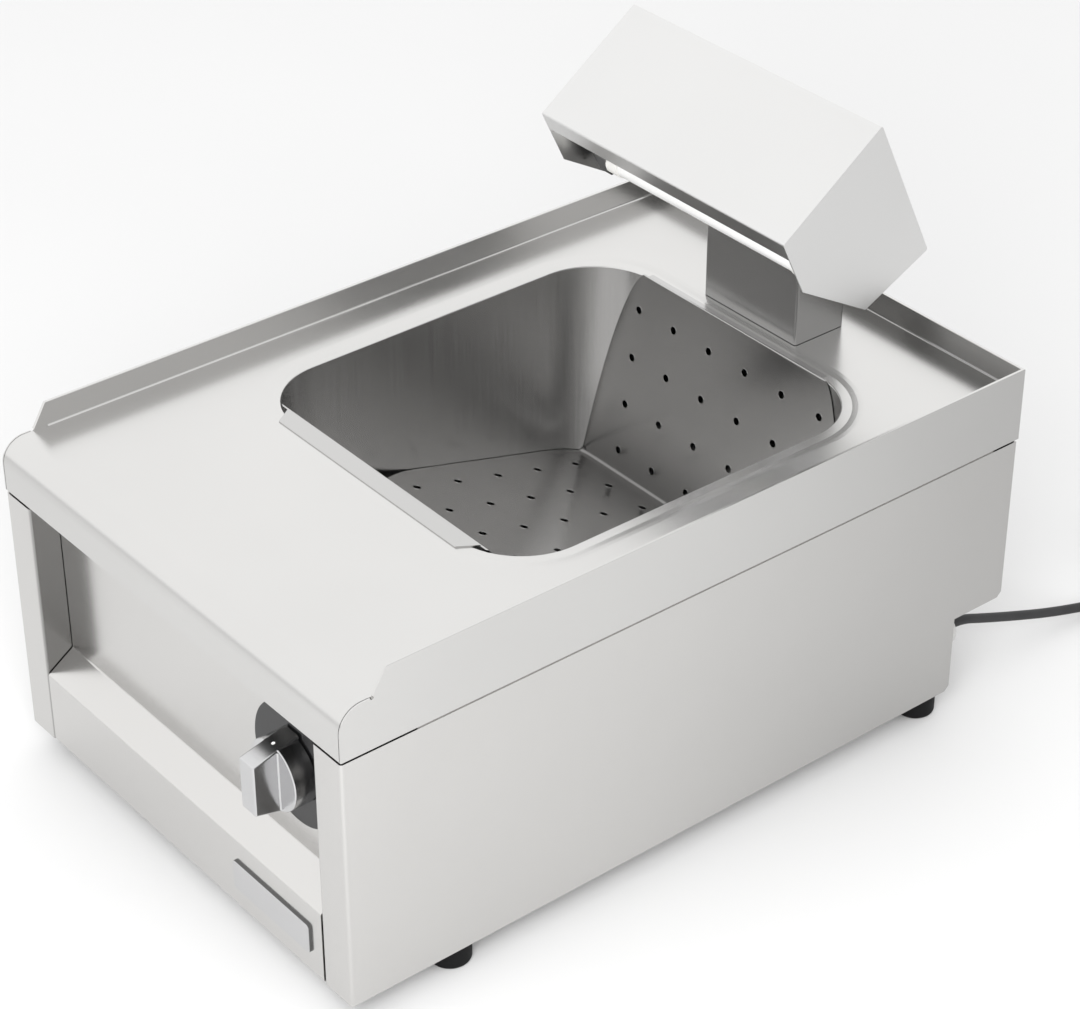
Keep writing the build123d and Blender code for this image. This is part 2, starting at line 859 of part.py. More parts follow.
with BuildPart() as thermostat_screws:
    with BuildSketch(Plane.XZ.offset(-dial_face)):
        with Locations((knob_x, knob_level)):
            with GridLocations(screw_pitch, screw_pitch, 2, 1):
                Circle(screw_head)
    extrude(amount=screw_head_height)
    with BuildSketch(Plane.XZ.offset(-dial_face)):
        with Locations((knob_x, knob_level)):
            with GridLocations(screw_pitch, screw_pitch, 2, 1):
                Circle(screw_radius)
    extrude(amount=-screw_length)
keep(thermostat_screws, "thermostat_screws")

bulb_y = open_front - sheet - bulb_radius - bulb_gap
bulb_z = base + bulb_level
bulb_end = knob_x - body_side / 2
with BuildPart() as thermostat_bulb:
    with BuildLine() as capillary:
        FilletPolyline(
            (knob_x, body_rear, knob_level),
            (knob_x, body_rear + body_depth, knob_level),
            (knob_x, bulb_y, bulb_z),
            (bulb_end, bulb_y, bulb_z),
            radius=capillary_bend,
        )
    with BuildSketch(Plane(origin=capillary.line @ 0, z_dir=capillary.line % 0)):
        Circle(capillary_radius)
    sweep()
    with BuildSketch(Plane.YZ.offset(bulb_end)):
        with Locations((bulb_y, bulb_z)):
            Circle(bulb_radius)
    extrude(amount=-bulb_length)
keep(thermostat_bulb, "thermostat_bulb")

# Badge plate: a bare raised plate on the apron
with BuildPart() as badge_plate:
    with BuildSketch(Plane.XZ.offset(-front)):
        with Locations((badge_x, base + badge_rise)):
            RectangleRounded(badge_width, badge_height, badge_round)
    extrude(amount=badge_sheet)
    fillet(badge_plate.edges().group_by(Axis.Y)[0], badge_sheet / 3)
keep(badge_plate, "badge_plate")

# Pillar: a box tube, open below, whose slanted top carries the hood
hood_floor_plane = Plane(
    origin=hood_plane.origin, x_dir=(1, 0, 0), z_dir=hood_plane.y_dir
)
tilt_cosine = math.cos(math.radians(hood_tilt))
pillar_u = (pillar_middle - hood_plane.origin.Y) / tilt_cosine
with BuildPart() as pillar:
    with BuildSketch(Plane.XY.offset(deck + pillar_seam)):
        with Locations((0, pillar_middle)):
            RectangleRounded(pillar_width, pillar_depth, pillar_round)
    extrude(amount=hood_corner_rise + hood_floor)
    with BuildSketch(hood_floor_plane):
        with Locations((0, pillar_u)):
            Rectangle(2 * pillar_width, 3 * pillar_depth)
    extrude(amount=hood_back, mode=Mode.SUBTRACT)
    offset(amount=-sheet, openings=pillar.faces().sort_by(Axis.Z)[0])
    with BuildSketch(hood_floor_plane):
        with Locations((0, pillar_u)):
            Circle(wire_hole)
            with GridLocations(hood_screw_pitch, hood_screw_pitch, 2, 1):
                Circle(screw_radius + fit_gap)
    extrude(amount=-2 * sheet, mode=Mode.SUBTRACT)
keep(pillar, "pillar")

# Pillar bracket: a channel inside the foot of the pillar, screwed to the worktop
bracket_width = pillar_width - 2 * sheet - 2 * bracket_gap
bracket_depth = pillar_depth - 2 * sheet - 2 * bracket_gap
with BuildPart() as pillar_bracket:
    with BuildSketch(Plane.XY.offset(deck)):
        with Locations((0, pillar_middle)):
            Rectangle(bracket_width, bracket_depth - 2 * pillar_round)
    extrude(amount=bracket_height)
    with BuildSketch(Plane.XY.offset(deck + bracket_sheet)):
        with Locations((0, pillar_middle)):
            Rectangle(bracket_width - 2 * bracket_sheet, bracket_depth)
    extrude(amount=bracket_height, mode=Mode.SUBTRACT)
    with BuildSketch(Plane.XY.offset(deck)):
        with Locations((0, pillar_middle)):
            Circle(wire_hole)
            with GridLocations(bracket_pitch_x, bracket_pitch_y, 2, 2):
                Circle(screw_radius + fit_gap)
    extrude(amount=bracket_sheet, mode=Mode.SUBTRACT)
keep(pillar_bracket, "pillar_bracket")

with BuildPart() as pillar_screws:
    for radius, low, high in (
        (screw_head, deck - top_sheet - screw_head_height, deck - top_sheet),
        (screw_radius, deck - top_sheet, deck + bracket_sheet + screw_spare),
    ):
        with BuildSketch(Plane.XY.offset(low)):
            with Locations((0, pillar_middle)):
                with GridLocations(bracket_pitch_x, bracket_pitch_y, 2, 2):
                    Circle(radius)
        extrude(amount=high - low)
keep(pillar_screws, "pillar_screws")

with BuildPart() as pillar_nuts:
    with BuildSketch(Plane.XY.offset(deck + bracket_sheet)):
        with Locations((0, pillar_middle)):
            with GridLocations(bracket_pitch_x, bracket_pitch_y, 2, 2):
                RegularPolygon(small_nut_radius, 6)
                Circle(screw_radius + shaft_fit, mode=Mode.SUBTRACT)
    extrude(amount=small_nut_height)
keep(pillar_nuts, "pillar_nuts")

# Hood: a folded shell with a front lip, open below, between two end plates
hood_corners = {
    "lip": (-hood_nose, hood_nose_top - hood_lip),
    "nose": (-hood_nose, hood_nose_top),
    "ridge": (hood_floor, hood_back),
    "heel": (hood_floor, 0),
    "toe": (0, 0),
    "chin": (-hood_nose, hood_nose_low),
}
with BuildPart() as hood_shell:
    with BuildSketch(hood_plane):
        with BuildLine():
            FilletPolyline(
                *[hood_corners[name] for name in ("lip", "nose", "ridge", "heel", "toe")],
                radius=bend_radius,
            )
            offset(amount=sheet, side=Side.RIGHT)
        make_face()
    extrude(amount=inner_hood, both=True)
    with BuildSketch(hood_floor_plane):
        with Locations((0, pillar_u)):
            Circle(wire_hole)
            with GridLocations(hood_screw_pitch, hood_screw_pitch, 2, 1):
                Circle(screw_radius + fit_gap)
    extrude(amount=2 * sheet, mode=Mode.SUBTRACT)
keep(hood_shell, "hood_shell")

for side, name in ((-1, "hood_end_left"), (1, "hood_end_right")):
    with BuildPart() as hood_end:
        with BuildSketch(hood_plane.offset(side * inner_hood)):
            with BuildLine():
                Polyline(
                    *[hood_corners[name] for name in ("nose", "ridge", "heel", "toe", "chin")],
                    close=True,
                )
            face = make_face()
            fillet(face.vertices(), bend_radius)
        extrude(amount=side * sheet)
        outer = hood_end.faces().sort_by(Axis.X)[-1 if side > 0 else 0]
        fillet(outer.edges(), end_round)
    keep(hood_end, name)

# Reflector: a bent bright sheet above and behind the lamp
roof_slope = (hood_back - hood_nose_top) / (hood_floor + hood_nose)
reflector_front = -hood_nose + reflector_start


def roof_level(u):
    """Height of the hood's roof over its floor, at u behind the floor's front edge."""
    return hood_nose_top + (u + hood_nose) * roof_slope


lamp_point = hood_plane.from_local_coords(Vector(-lamp_forward, lamp_rise, 0))
cap_end = lamp_half + cap_length - cap_grip
holder_middle = cap_end + holder_length / 2
with BuildPart() as reflector:
    with BuildSketch(hood_plane):
        with BuildLine():
            FilletPolyline(
                (reflector_front, roof_level(reflector_front) - sheet - bend_radius),
                (reflector_front, roof_level(reflector_front) - reflector_inset),
                (reflector_back, roof_level(reflector_back) - reflector_inset),
                (reflector_back, sheet + fit_gap),
                radius=bend_radius,
            )
            offset(amount=reflector_sheet, side=Side.RIGHT)
        make_face()
    extrude(amount=inner_hood - fit_gap, both=True)
    reflector_wall = Plane(
        origin=hood_plane.from_local_coords(Vector(reflector_back, lamp_rise, 0)),
        x_dir=(1, 0, 0),
        z_dir=hood_plane.x_dir,
    )
    with BuildSketch(reflector_wall):
        with Locations((holder_middle, 0)):
            Circle(lead_hole)
    extrude(amount=2 * sheet, both=True, mode=Mode.SUBTRACT)
keep(reflector, "reflector")

# Lamp: a frosted quartz tube in two caps, carried by holders on the end plates
with BuildPart() as lamp_tube:
    with BuildSketch(Plane.YZ):
        with Locations((lamp_point.Y, lamp_point.Z)):
            Circle(lamp_radius)
    extrude(amount=lamp_half, both=True)
keep(lamp_tube, "lamp_tube")

with BuildPart() as lamp_caps:
    for side in (-1, 1):
        with BuildSketch(Plane.YZ.offset(side * cap_end)):
            with Locations((lamp_point.Y, lamp_point.Z)):
                Circle(cap_radius)
        extrude(amount=-side * cap_length)
        with BuildSketch(Plane.YZ.offset(side * lamp_half)):
            with Locations((lamp_point.Y, lamp_point.Z)):
                Circle(lamp_radius + shaft_fit)
        extrude(amount=-side * cap_length, mode=Mode.SUBTRACT)
keep(lamp_caps, "lamp_caps")

with BuildPart() as lamp_holders:
    for side in (-1, 1):
        with BuildSketch(hood_plane.offset(side * cap_end)):
            with Locations((-lamp_forward, lamp_rise)):
                RectangleRounded(holder_side, holder_side, bend_radius)
        extrude(amount=side * holder_length)
        with BuildSketch(hood_plane.offset(side * (cap_end + holder_length))):
            with Locations((-lamp_forward, lamp_rise)):
                RectangleRounded(holder_neck, holder_neck, bend_radius)
        extrude(amount=side * (inner_hood - cap_end - holder_length))
keep(lamp_holders, "lamp_holders")

with BuildPart() as hood_screws:
    for radius, low, high in (
        (screw_head, sheet, sheet + screw_head_height),
        (screw_radius, -sheet - screw_spare, sheet),
    ):
        with BuildSketch(hood_floor_plane.offset(low)):
            with Locations((0, pillar_u)):
                with GridLocations(hood_screw_pitch, hood_screw_pitch, 2, 1):
                    Circle(radius)
        extrude(amount=high - low)
keep(hood_screws, "hood_screws")

with BuildPart() as hood_nuts:
    with BuildSketch(hood_floor_plane.offset(-sheet)):
        with Locations((0, pillar_u)):
            with GridLocations(hood_screw_pitch, hood_screw_pitch, 2, 1):
                RegularPolygon(small_nut_radius, 6)
                Circle(screw_radius + shaft_fit, mode=Mode.SUBTRACT)
    extrude(amount=-small_nut_height)
keep(hood_nuts, "hood_nuts")

# Heater: a flat pad bonded under the well, with a cover sheet
pad_top = well_floor - sheet
pad_low = pad_top - heater_height
heater_width = open_width - 2 * heater_margin
heater_length = open_length - 2 * heater_margin
with BuildPart() as heater_pad:
    with BuildSketch(Plane.XY.offset(pad_low)):
        with Locations((0, well_middle)):
            RectangleRounded(heater_width, heater_length, well_foot_radius)
    extrude(amount=heater_height)
keep(heater_pad, "heater_pad")

with BuildPart() as heater_cover:
    with BuildSketch(Plane.XY.offset(pad_low - cover_height)):
        with Locations((0, well_middle)):
            RectangleRounded(heater_width, heater_length, well_foot_radius)
    extrude(amount=cover_height)
keep(heater_cover, "heater_cover")

# Terminal block on the base plate, and the leads inside the cabinet
block_rear = notch_front - block_rear_gap
block_front = block_rear - block_length
block_y = (block_front + block_rear) / 2
block_x = half_lid - block_inset
lead_z = plate_top + lead_level
block_left = block_x - block_width / 2
block_right = block_x + block_width / 2
with BuildPart() as terminal_block:
    with BuildSketch(Plane.XY.offset(plate_top)):
        with Locations((block_x, block_y)):
            RectangleRounded(block_width, block_length, sheet)
    extrude(amount=block_height)
    with BuildSketch(Plane.XY.offset(plate_top + block_height)):
        with Locations((block_x, block_y)):
            with GridLocations(block_width / block_cells, block_length / 2, block_cells, 2):
                Circle(block_bore)
    extrude(amount=-block_height / 4, mode=Mode.SUBTRACT)
keep(terminal_block, "terminal_block")

gland_end = notch_front + gland_flange + gland_dome
heater_rear = well_middle + heater_length / 2
hood_lead_v = lamp_rise
hood_lead_u = (
    pillar_middle - hood_plane.origin.Y + hood_lead_v * math.sin(math.radians(hood_tilt))
) / tilt_cosine
hood_lead = hood_plane.from_local_coords(Vector(hood_lead_u, hood_lead_v, 0))
holder_back = hood_plane.from_local_coords(
    Vector(holder_side / 2 - lamp_forward, lamp_rise, 0)
)
inner_leads = {
    "mains_lead": (
        cord_diameter,
        [
            (gland_x, gland_end, gland_level),
            (gland_x, block_rear, gland_level),
            (block_right + block_length, block_y, lead_z),
            (block_right, block_y, lead_z),
        ],
    ),
    "thermostat_lead": (
        lead_diameter,
        [
            (block_x + block_length / 2, block_front, lead_z),
            (block_x + block_length / 2, body_rear + 2 * body_depth, lead_z),
            (knob_x, body_rear + body_depth, knob_level - body_side / 3),
            (knob_x, body_rear, knob_level - body_side / 3),
        ],
    ),
    "heater_lead": (
        heater_lead_diameter,
        [
            (block_left, block_y - block_length / 4, lead_z),
            (block_left - 2 * block_length, block_y - block_length / 4, lead_z),
            (block_left - 2 * block_length, heater_rear + 1.5 * block_length, pad_top - heater_height / 2),
            (block_left - 2 * block_length, heater_rear, pad_top - heater_height / 2),
        ],
    ),
    "lamp_lead": (
        lead_diameter,
        [
            (block_left, block_y + block_length / 4, lead_z),
            (block_length, block_y + block_length / 4, lead_z),
            (0, pillar_middle, lead_z + 2 * block_length),
            (0, pillar_middle, hood_lead.Z),
            (holder_middle, hood_lead.Y, hood_lead.Z),
            (holder_middle, holder_back.Y, holder_back.Z),
        ],
    ),
}
for name, (diameter, points) in inner_leads.items():
    with BuildPart() as lead:
        with BuildLine() as run:
            FilletPolyline(*points, radius=lead_bend)
        with BuildSketch(Plane(origin=run.line @ 0, z_dir=run.line % 0)):
            Circle(diameter / 2)
        sweep()
    keep(lead, name)

# Cable gland: threaded body, clamping dome and inner nut
cord_bore = cord_diameter / 2 + cord_bore_gap
with BuildPart() as gland_body:
    with BuildSketch(Plane.XZ.offset(-notch_front)):
        with Locations((gland_x, gland_level)):
            Circle(gland_radius)
    extrude(amount=-gland_flange)
    with BuildSketch(Plane.XZ.offset(-notch_front)):
        with Locations((gland_x, gland_level)):
            Circle(gland_thread)
    extrude(amount=gland_thread_length)
    with BuildSketch(Plane.XZ.offset(-notch_front)):
        with Locations((gland_x, gland_level)):
            Circle(cord_bore)
    extrude(amount=gland_thread_length + gland_flange, both=True, mode=Mode.SUBTRACT)
keep(gland_body, "gland_body")

with BuildPart() as gland_cap:
    with BuildSketch(Plane.XZ.offset(-(notch_front + gland_flange))):
        with Locations((gland_x, gland_level)):
            Circle(gland_tip)
    extrude(amount=-gland_dome)
    fillet(gland_cap.edges().group_by(Axis.Y)[-1], gland_round)
    with BuildSketch(Plane.XZ.offset(-(notch_front + gland_flange))):
        with Locations((gland_x, gland_level)):
            Circle(cord_bore)
    extrude(amount=-gland_dome, mode=Mode.SUBTRACT)
keep(gland_cap, "gland_cap")

with BuildPart() as gland_nut:
    with BuildSketch(Plane.XZ.offset(-(notch_front - sheet))):
        with Locations((gland_x, gland_level)):
            RegularPolygon(gland_nut_radius, 6)
            Circle(gland_thread + shaft_fit, mode=Mode.SUBTRACT)
    extrude(amount=gland_nut_height)
keep(gland_nut, "gland_nut")

# Power cord: it droops from the gland to the table and runs to its coil
coil_x = gland_x - coil_shift
coil_y = rear + coil_gap
low_turn = cord_diameter / 2 + coil_lift
turn_pitch = cord_diameter + turn_gap
high_turn = low_turn + turn_pitch
coil_entry = coil_x + coil_radius
cord_end = coil_y - cord_diameter
cord_points = [
    (gland_x, gland_end, gland_level),
    (gland_x, gland_end + 2 * cord_diameter, gland_level),
    *[
        (
            gland_x + aside * (coil_entry - gland_x),
            gland_end + back * (cord_end - gland_end),
            gland_level - down * (gland_level - low_turn),
        )
        for back, aside, down in cord_shape
    ],
]
cord_radii = bend_radii(cord_points)
print("cord bend radii", [round(radius, 1) for radius in cord_radii])
with BuildPart() as power_cord:
    with BuildLine() as cord_path:
        FilletPolyline(*cord_points, radius=cord_radii)
    with BuildSketch(Plane(origin=cord_path.line @ 0, z_dir=cord_path.line % 0)):
        Circle(cord_diameter / 2)
    sweep()
cord_section = math.pi * cord_diameter**2 / 4
cord_length = cord_path.wire().length
cord_ratio = power_cord.part.volume / (cord_section * cord_length)
print("cord volume over section times length", round(cord_ratio, 4))
keep(power_cord, "power_cord")

# Coil: spirals in on the table, climbs half a turn and spirals out on top of itself
with BuildPart() as cord_coil:
    with BuildLine() as turns:
        Line((coil_entry, cord_end, low_turn), (coil_entry, coil_y, low_turn))
        here = Vector(coil_entry, coil_y, low_turn)
        inner_radius = coil_radius - turns_in * turn_pitch
        for half in range(4 * turns_in):
            away = half - 2 * turns_in
            radius = inner_radius + abs(away) * turn_pitch / 2
            heading = 1 if half % 2 == 0 else -1
            climb = turn_pitch if away == 0 else 0
            middle = here + Vector(-heading * radius, heading * radius, climb / 2)
            far = here + Vector(-heading * 2 * radius, 0, climb)
            ThreePointArc(here, middle, far)
            here = far
        Line(here, here + Vector(0, coil_tail, 0))
    with BuildSketch(Plane(origin=turns.line @ 0, z_dir=turns.line % 0)):
        Circle(cord_diameter / 2)
    sweep()
coil_wire = turns.wire()
coil_length = coil_wire.length
steps = int(coil_length / 2)
samples = [coil_wire @ (step / steps) for step in range(steps + 1)]
apart = int(3 * cord_diameter * steps / coil_length)
least_gap = min(
    (first - second).length
    for index, first in enumerate(samples)
    for second in samples[index + apart :]
)
coil_ratio = cord_coil.part.volume / (cord_section * coil_length)
print("coil least gap", round(least_gap - cord_diameter, 2))
print("coil volume over section times length", round(coil_ratio, 4))
print("cord length", round(cord_length + coil_length, 1))
keep(cord_coil, "cord_coil")

# Tie round the four turns that lie together on the near side of the coil
with BuildPart() as coil_tie:
    bundle = turn_pitch + cord_diameter
    bundle_y = coil_y - coil_radius + turn_pitch
    bundle_z = (low_turn + high_turn) / 2
    tie_inner_y = bundle + 2 * tie_gap
    tie_inner_z = bundle + 2 * tie_lift
    with BuildSketch(Plane.YZ.offset(coil_x)):
        with Locations((bundle_y, bundle_z)):
            Rectangle(tie_inner_y + 2 * tie_sheet, tie_inner_z + 2 * tie_sheet)
            Rectangle(tie_inner_y, tie_inner_z, mode=Mode.SUBTRACT)
    extrude(amount=tie_width / 2, both=True)
keep(coil_tie, "coil_tie")

# Plug: a flat side-entry plug lying on its back, with a tapered boot
boot_start = coil_y + coil_tail
plug_y = boot_start + boot_length + plug_radius - plug_round
with BuildPart() as plug_body:
    with BuildSketch(Plane.XY.offset(plug_lift)):
        with Locations((coil_entry, plug_y)):
            Circle(plug_radius)
    extrude(amount=plug_height)
    fillet(plug_body.edges().group_by(Axis.Z)[-1], plug_round)
    for start, radius in ((boot_start, cord_diameter / 2 + sheet), (plug_y - plug_radius / 2, boot_radius)):
        with BuildSketch(Plane.XZ.offset(-start)):
            with Locations((coil_entry, high_turn)):
                Circle(radius)
    loft()
keep(plug_body, "plug_body")

with BuildPart() as plug_pins:
    with BuildSketch(Plane.XY.offset(plug_lift + plug_height)):
        with Locations((coil_entry, plug_y)):
            with GridLocations(pin_pitch, pin_pitch, 2, 1):
                Circle(pin_radius)
    extrude(amount=pin_length)
    fillet(plug_pins.edges().group_by(Axis.Z)[-1], pin_radius / 2)
keep(plug_pins, "plug_pins")
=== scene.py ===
"""Finishes for a countertop fries station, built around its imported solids."""

import math

import bmesh
import bpy
from mathutils import Matrix, Vector


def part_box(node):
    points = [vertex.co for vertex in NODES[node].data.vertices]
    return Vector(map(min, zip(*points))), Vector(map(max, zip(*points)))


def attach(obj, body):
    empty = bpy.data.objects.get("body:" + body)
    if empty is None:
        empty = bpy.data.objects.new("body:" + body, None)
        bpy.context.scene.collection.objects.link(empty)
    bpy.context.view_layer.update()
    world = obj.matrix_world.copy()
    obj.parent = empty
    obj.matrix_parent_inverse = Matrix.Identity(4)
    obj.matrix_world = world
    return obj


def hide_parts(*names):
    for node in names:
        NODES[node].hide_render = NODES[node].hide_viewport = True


bl_info = {
    "name": "Fries Station Finishes",
    "version": (1, 0, 0),
    "blender": (4, 5, 0),
    "location": "View3D > Sidebar > Fries Station",
    "description": "Steel, chrome, rubber and cord finishes for a countertop fries station",
    "category": "Object",
}

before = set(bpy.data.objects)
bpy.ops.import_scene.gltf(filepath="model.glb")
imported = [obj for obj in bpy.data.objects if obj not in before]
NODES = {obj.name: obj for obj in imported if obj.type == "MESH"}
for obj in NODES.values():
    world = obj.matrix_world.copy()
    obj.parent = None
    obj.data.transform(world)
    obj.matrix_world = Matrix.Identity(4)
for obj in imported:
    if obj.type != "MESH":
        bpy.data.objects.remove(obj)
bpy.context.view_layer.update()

# Where the appliance's front plane lies, and the surfaces that the small pieces sit on
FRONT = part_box("worktop")[0].y
GLAND_LOW, GLAND_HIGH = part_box("gland_cap")
GLAND_MIDDLE = (GLAND_LOW + GLAND_HIGH) / 2
UPSTAND_HEIGHT = 0.019
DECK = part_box("worktop")[1].z - UPSTAND_HEIGHT
HALF_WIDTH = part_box("worktop")[1].x
TRAY_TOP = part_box("perforated_tray")[1].z


def mm(value):
    """Millimetres as metres."""
    return value / 1000


class CameraSettings(bpy.types.PropertyGroup):
    """The viewpoint of the studio camera."""

    place: bpy.props.FloatVectorProperty(
        name="Place",
        description="Where the camera stands",
        default=(1.41645, -1.11346, 1.37560),
        subtype="XYZ",
        unit="LENGTH",
    )
    forward: bpy.props.FloatVectorProperty(
        name="Forward",
        description="The way the camera looks",
        default=(-0.63579, 0.53066, -0.56051),
        subtype="DIRECTION",
    )
    right: bpy.props.FloatVectorProperty(
        name="Right",
        description="The way that lies to the right in the picture",
        default=(0.63716, 0.77070, 0.00691),
        subtype="DIRECTION",
    )
    lens: bpy.props.FloatProperty(
        name="Lens",
        description="Focal length on a full-frame sensor, in millimetres",
        default=100.55,
        min=1.0,
    )
    shift_x: bpy.props.FloatProperty(
        name="Shift X",
        description="Sideways shift of the picture, in widths",
        default=-0.04136,
    )
    shift_y: bpy.props.FloatProperty(
        name="Shift Y",
        description="Upward shift of the picture, in widths",
        default=0.03894,
    )


class CordSettings(bpy.types.PropertyGroup):
    """The power cord and the coil that it is stored in."""

    diameter: bpy.props.FloatProperty(
        name="Diameter",
        description="Outer diameter of the cord",
        default=mm(7.5),
        unit="LENGTH",
        min=0.001,
    )
    coil_x: bpy.props.FloatProperty(
        name="Coil X",
        description="Middle of the coil, to the right",
        default=mm(155),
        unit="LENGTH",
    )
    coil_y: bpy.props.FloatProperty(
        name="Coil Y",
        description="Middle of the coil, behind the worktop's front edge",
        default=mm(850),
        unit="LENGTH",
    )
    coil_radius: bpy.props.FloatProperty(
        name="Coil Radius",
        description="Radius of the coil's outer turn",
        default=mm(53),
        unit="LENGTH",
    )
    turn_gap: bpy.props.FloatProperty(
        name="Turn Gap",
        description="Clear gap between turns that lie together",
        default=mm(0.6),
        unit="LENGTH",
    )
    turns_in: bpy.props.IntProperty(
        name="Turns In",
        description="Turns in the coil's lower layer",
        default=2,
        min=1,
    )
    lift: bpy.props.FloatProperty(
        name="Lift",
        description="Gap between the table and the lower layer",
        default=mm(1.1),
        unit="LENGTH",
    )
    tail: bpy.props.FloatProperty(
        name="Tail",
        description="Straight end between the coil and the plug",
        default=mm(28),
        unit="LENGTH",
    )
    length: bpy.props.FloatProperty(
        name="Length",
        description="Real length of the cord from the gland to the plug",
        default=1.4445,
        unit="LENGTH",
    )
    colour: bpy.props.FloatVectorProperty(
        name="Colour",
        description="Colour of the cord's rubber sheath",
        default=(0.036, 0.036, 0.037),
        subtype="COLOR",
        min=0.0,
        max=1.0,
    )


class SteelSettings(bpy.types.PropertyGroup):
    """The stainless sheet of the cabinet, the hood and the well."""

    top_colour: bpy.props.FloatVectorProperty(
        name="Top Colour",
        description="Colour of the polished worktop and hood",
        default=(0.605, 0.60, 0.59),
        subtype="COLOR",
        min=0.0,
        max=1.0,
    )
    panel_colour: bpy.props.FloatVectorProperty(
        name="Panel Colour",
        description="Colour of the satin cabinet panels",
        default=(0.605, 0.597, 0.585),
        subtype="COLOR",
        min=0.0,
        max=1.0,
    )
    hood_colour: bpy.props.FloatVectorProperty(
        name="Hood Colour",
        description="Colour of the folded hood",
        default=(0.66, 0.658, 0.652),
        subtype="COLOR",
        min=0.0,
        max=1.0,
    )
    # Darker than the other steel as painted shade, standing in for the dark reflections under the hood
    pillar_shaded_colour: bpy.props.FloatVectorProperty(
        name="Pillar Colour",
        description="Colour of the brushed pillar",
        default=(0.39, 0.388, 0.385),
        subtype="COLOR",
        min=0.0,
        max=1.0,
    )
    tray_colour: bpy.props.FloatVectorProperty(
        name="Tray Colour",
        description="Colour of the brushed tray",
        default=(0.50, 0.496, 0.49),
        subtype="COLOR",
        min=0.0,
        max=1.0,
    )
    well_colour: bpy.props.FloatVectorProperty(
        name="Well Colour",
        description="Colour of the brushed well",
        default=(0.63, 0.626, 0.62),
        subtype="COLOR",
        min=0.0,
        max=1.0,
    )


class DialSettings(bpy.types.PropertyGroup):
    """The dark plate under the knob."""

    colour: bpy.props.FloatVectorProperty(
        name="Colour",
        description="Colour of the dial plate's enamel",
        default=(0.008, 0.008, 0.0085),
        subtype="COLOR",
        min=0.0,
        max=1.0,
    )


class StageSettings(bpy.types.PropertyGroup):
    """The studio round the appliance."""

    floor_colour: bpy.props.FloatVectorProperty(
        name="Floor Colour",
        description="Colour of the plain floor",
        default=(0.70, 0.70, 0.70),
        subtype="COLOR",
        min=0.0,
        max=1.0,
    )
    sky: bpy.props.FloatProperty(
        name="Sky",
        description="Brightness of the studio all round",
        default=1.31,
        min=0.0,
    )
    dark_sky: bpy.props.FloatProperty(
        name="Dark Side",
        description="Brightness of the studio's open side",
        default=1.0,
        min=0.0,
    )
    key_power: bpy.props.FloatProperty(
        name="Key Power",
        description="Power of the soft key light",
        default=20.0,
        unit="POWER",
        min=0.0,
    )


class FriesStationSettings(bpy.types.PropertyGroup):
    """Everything that a user would change."""

    camera: bpy.props.PointerProperty(type=CameraSettings)
    cord: bpy.props.PointerProperty(type=CordSettings)
    steel: bpy.props.PointerProperty(type=SteelSettings)
    dial: bpy.props.PointerProperty(type=DialSettings)
    stage: bpy.props.PointerProperty(type=StageSettings)


# The lowest roughness that a finish may reach
SMOOTHEST = 0.02


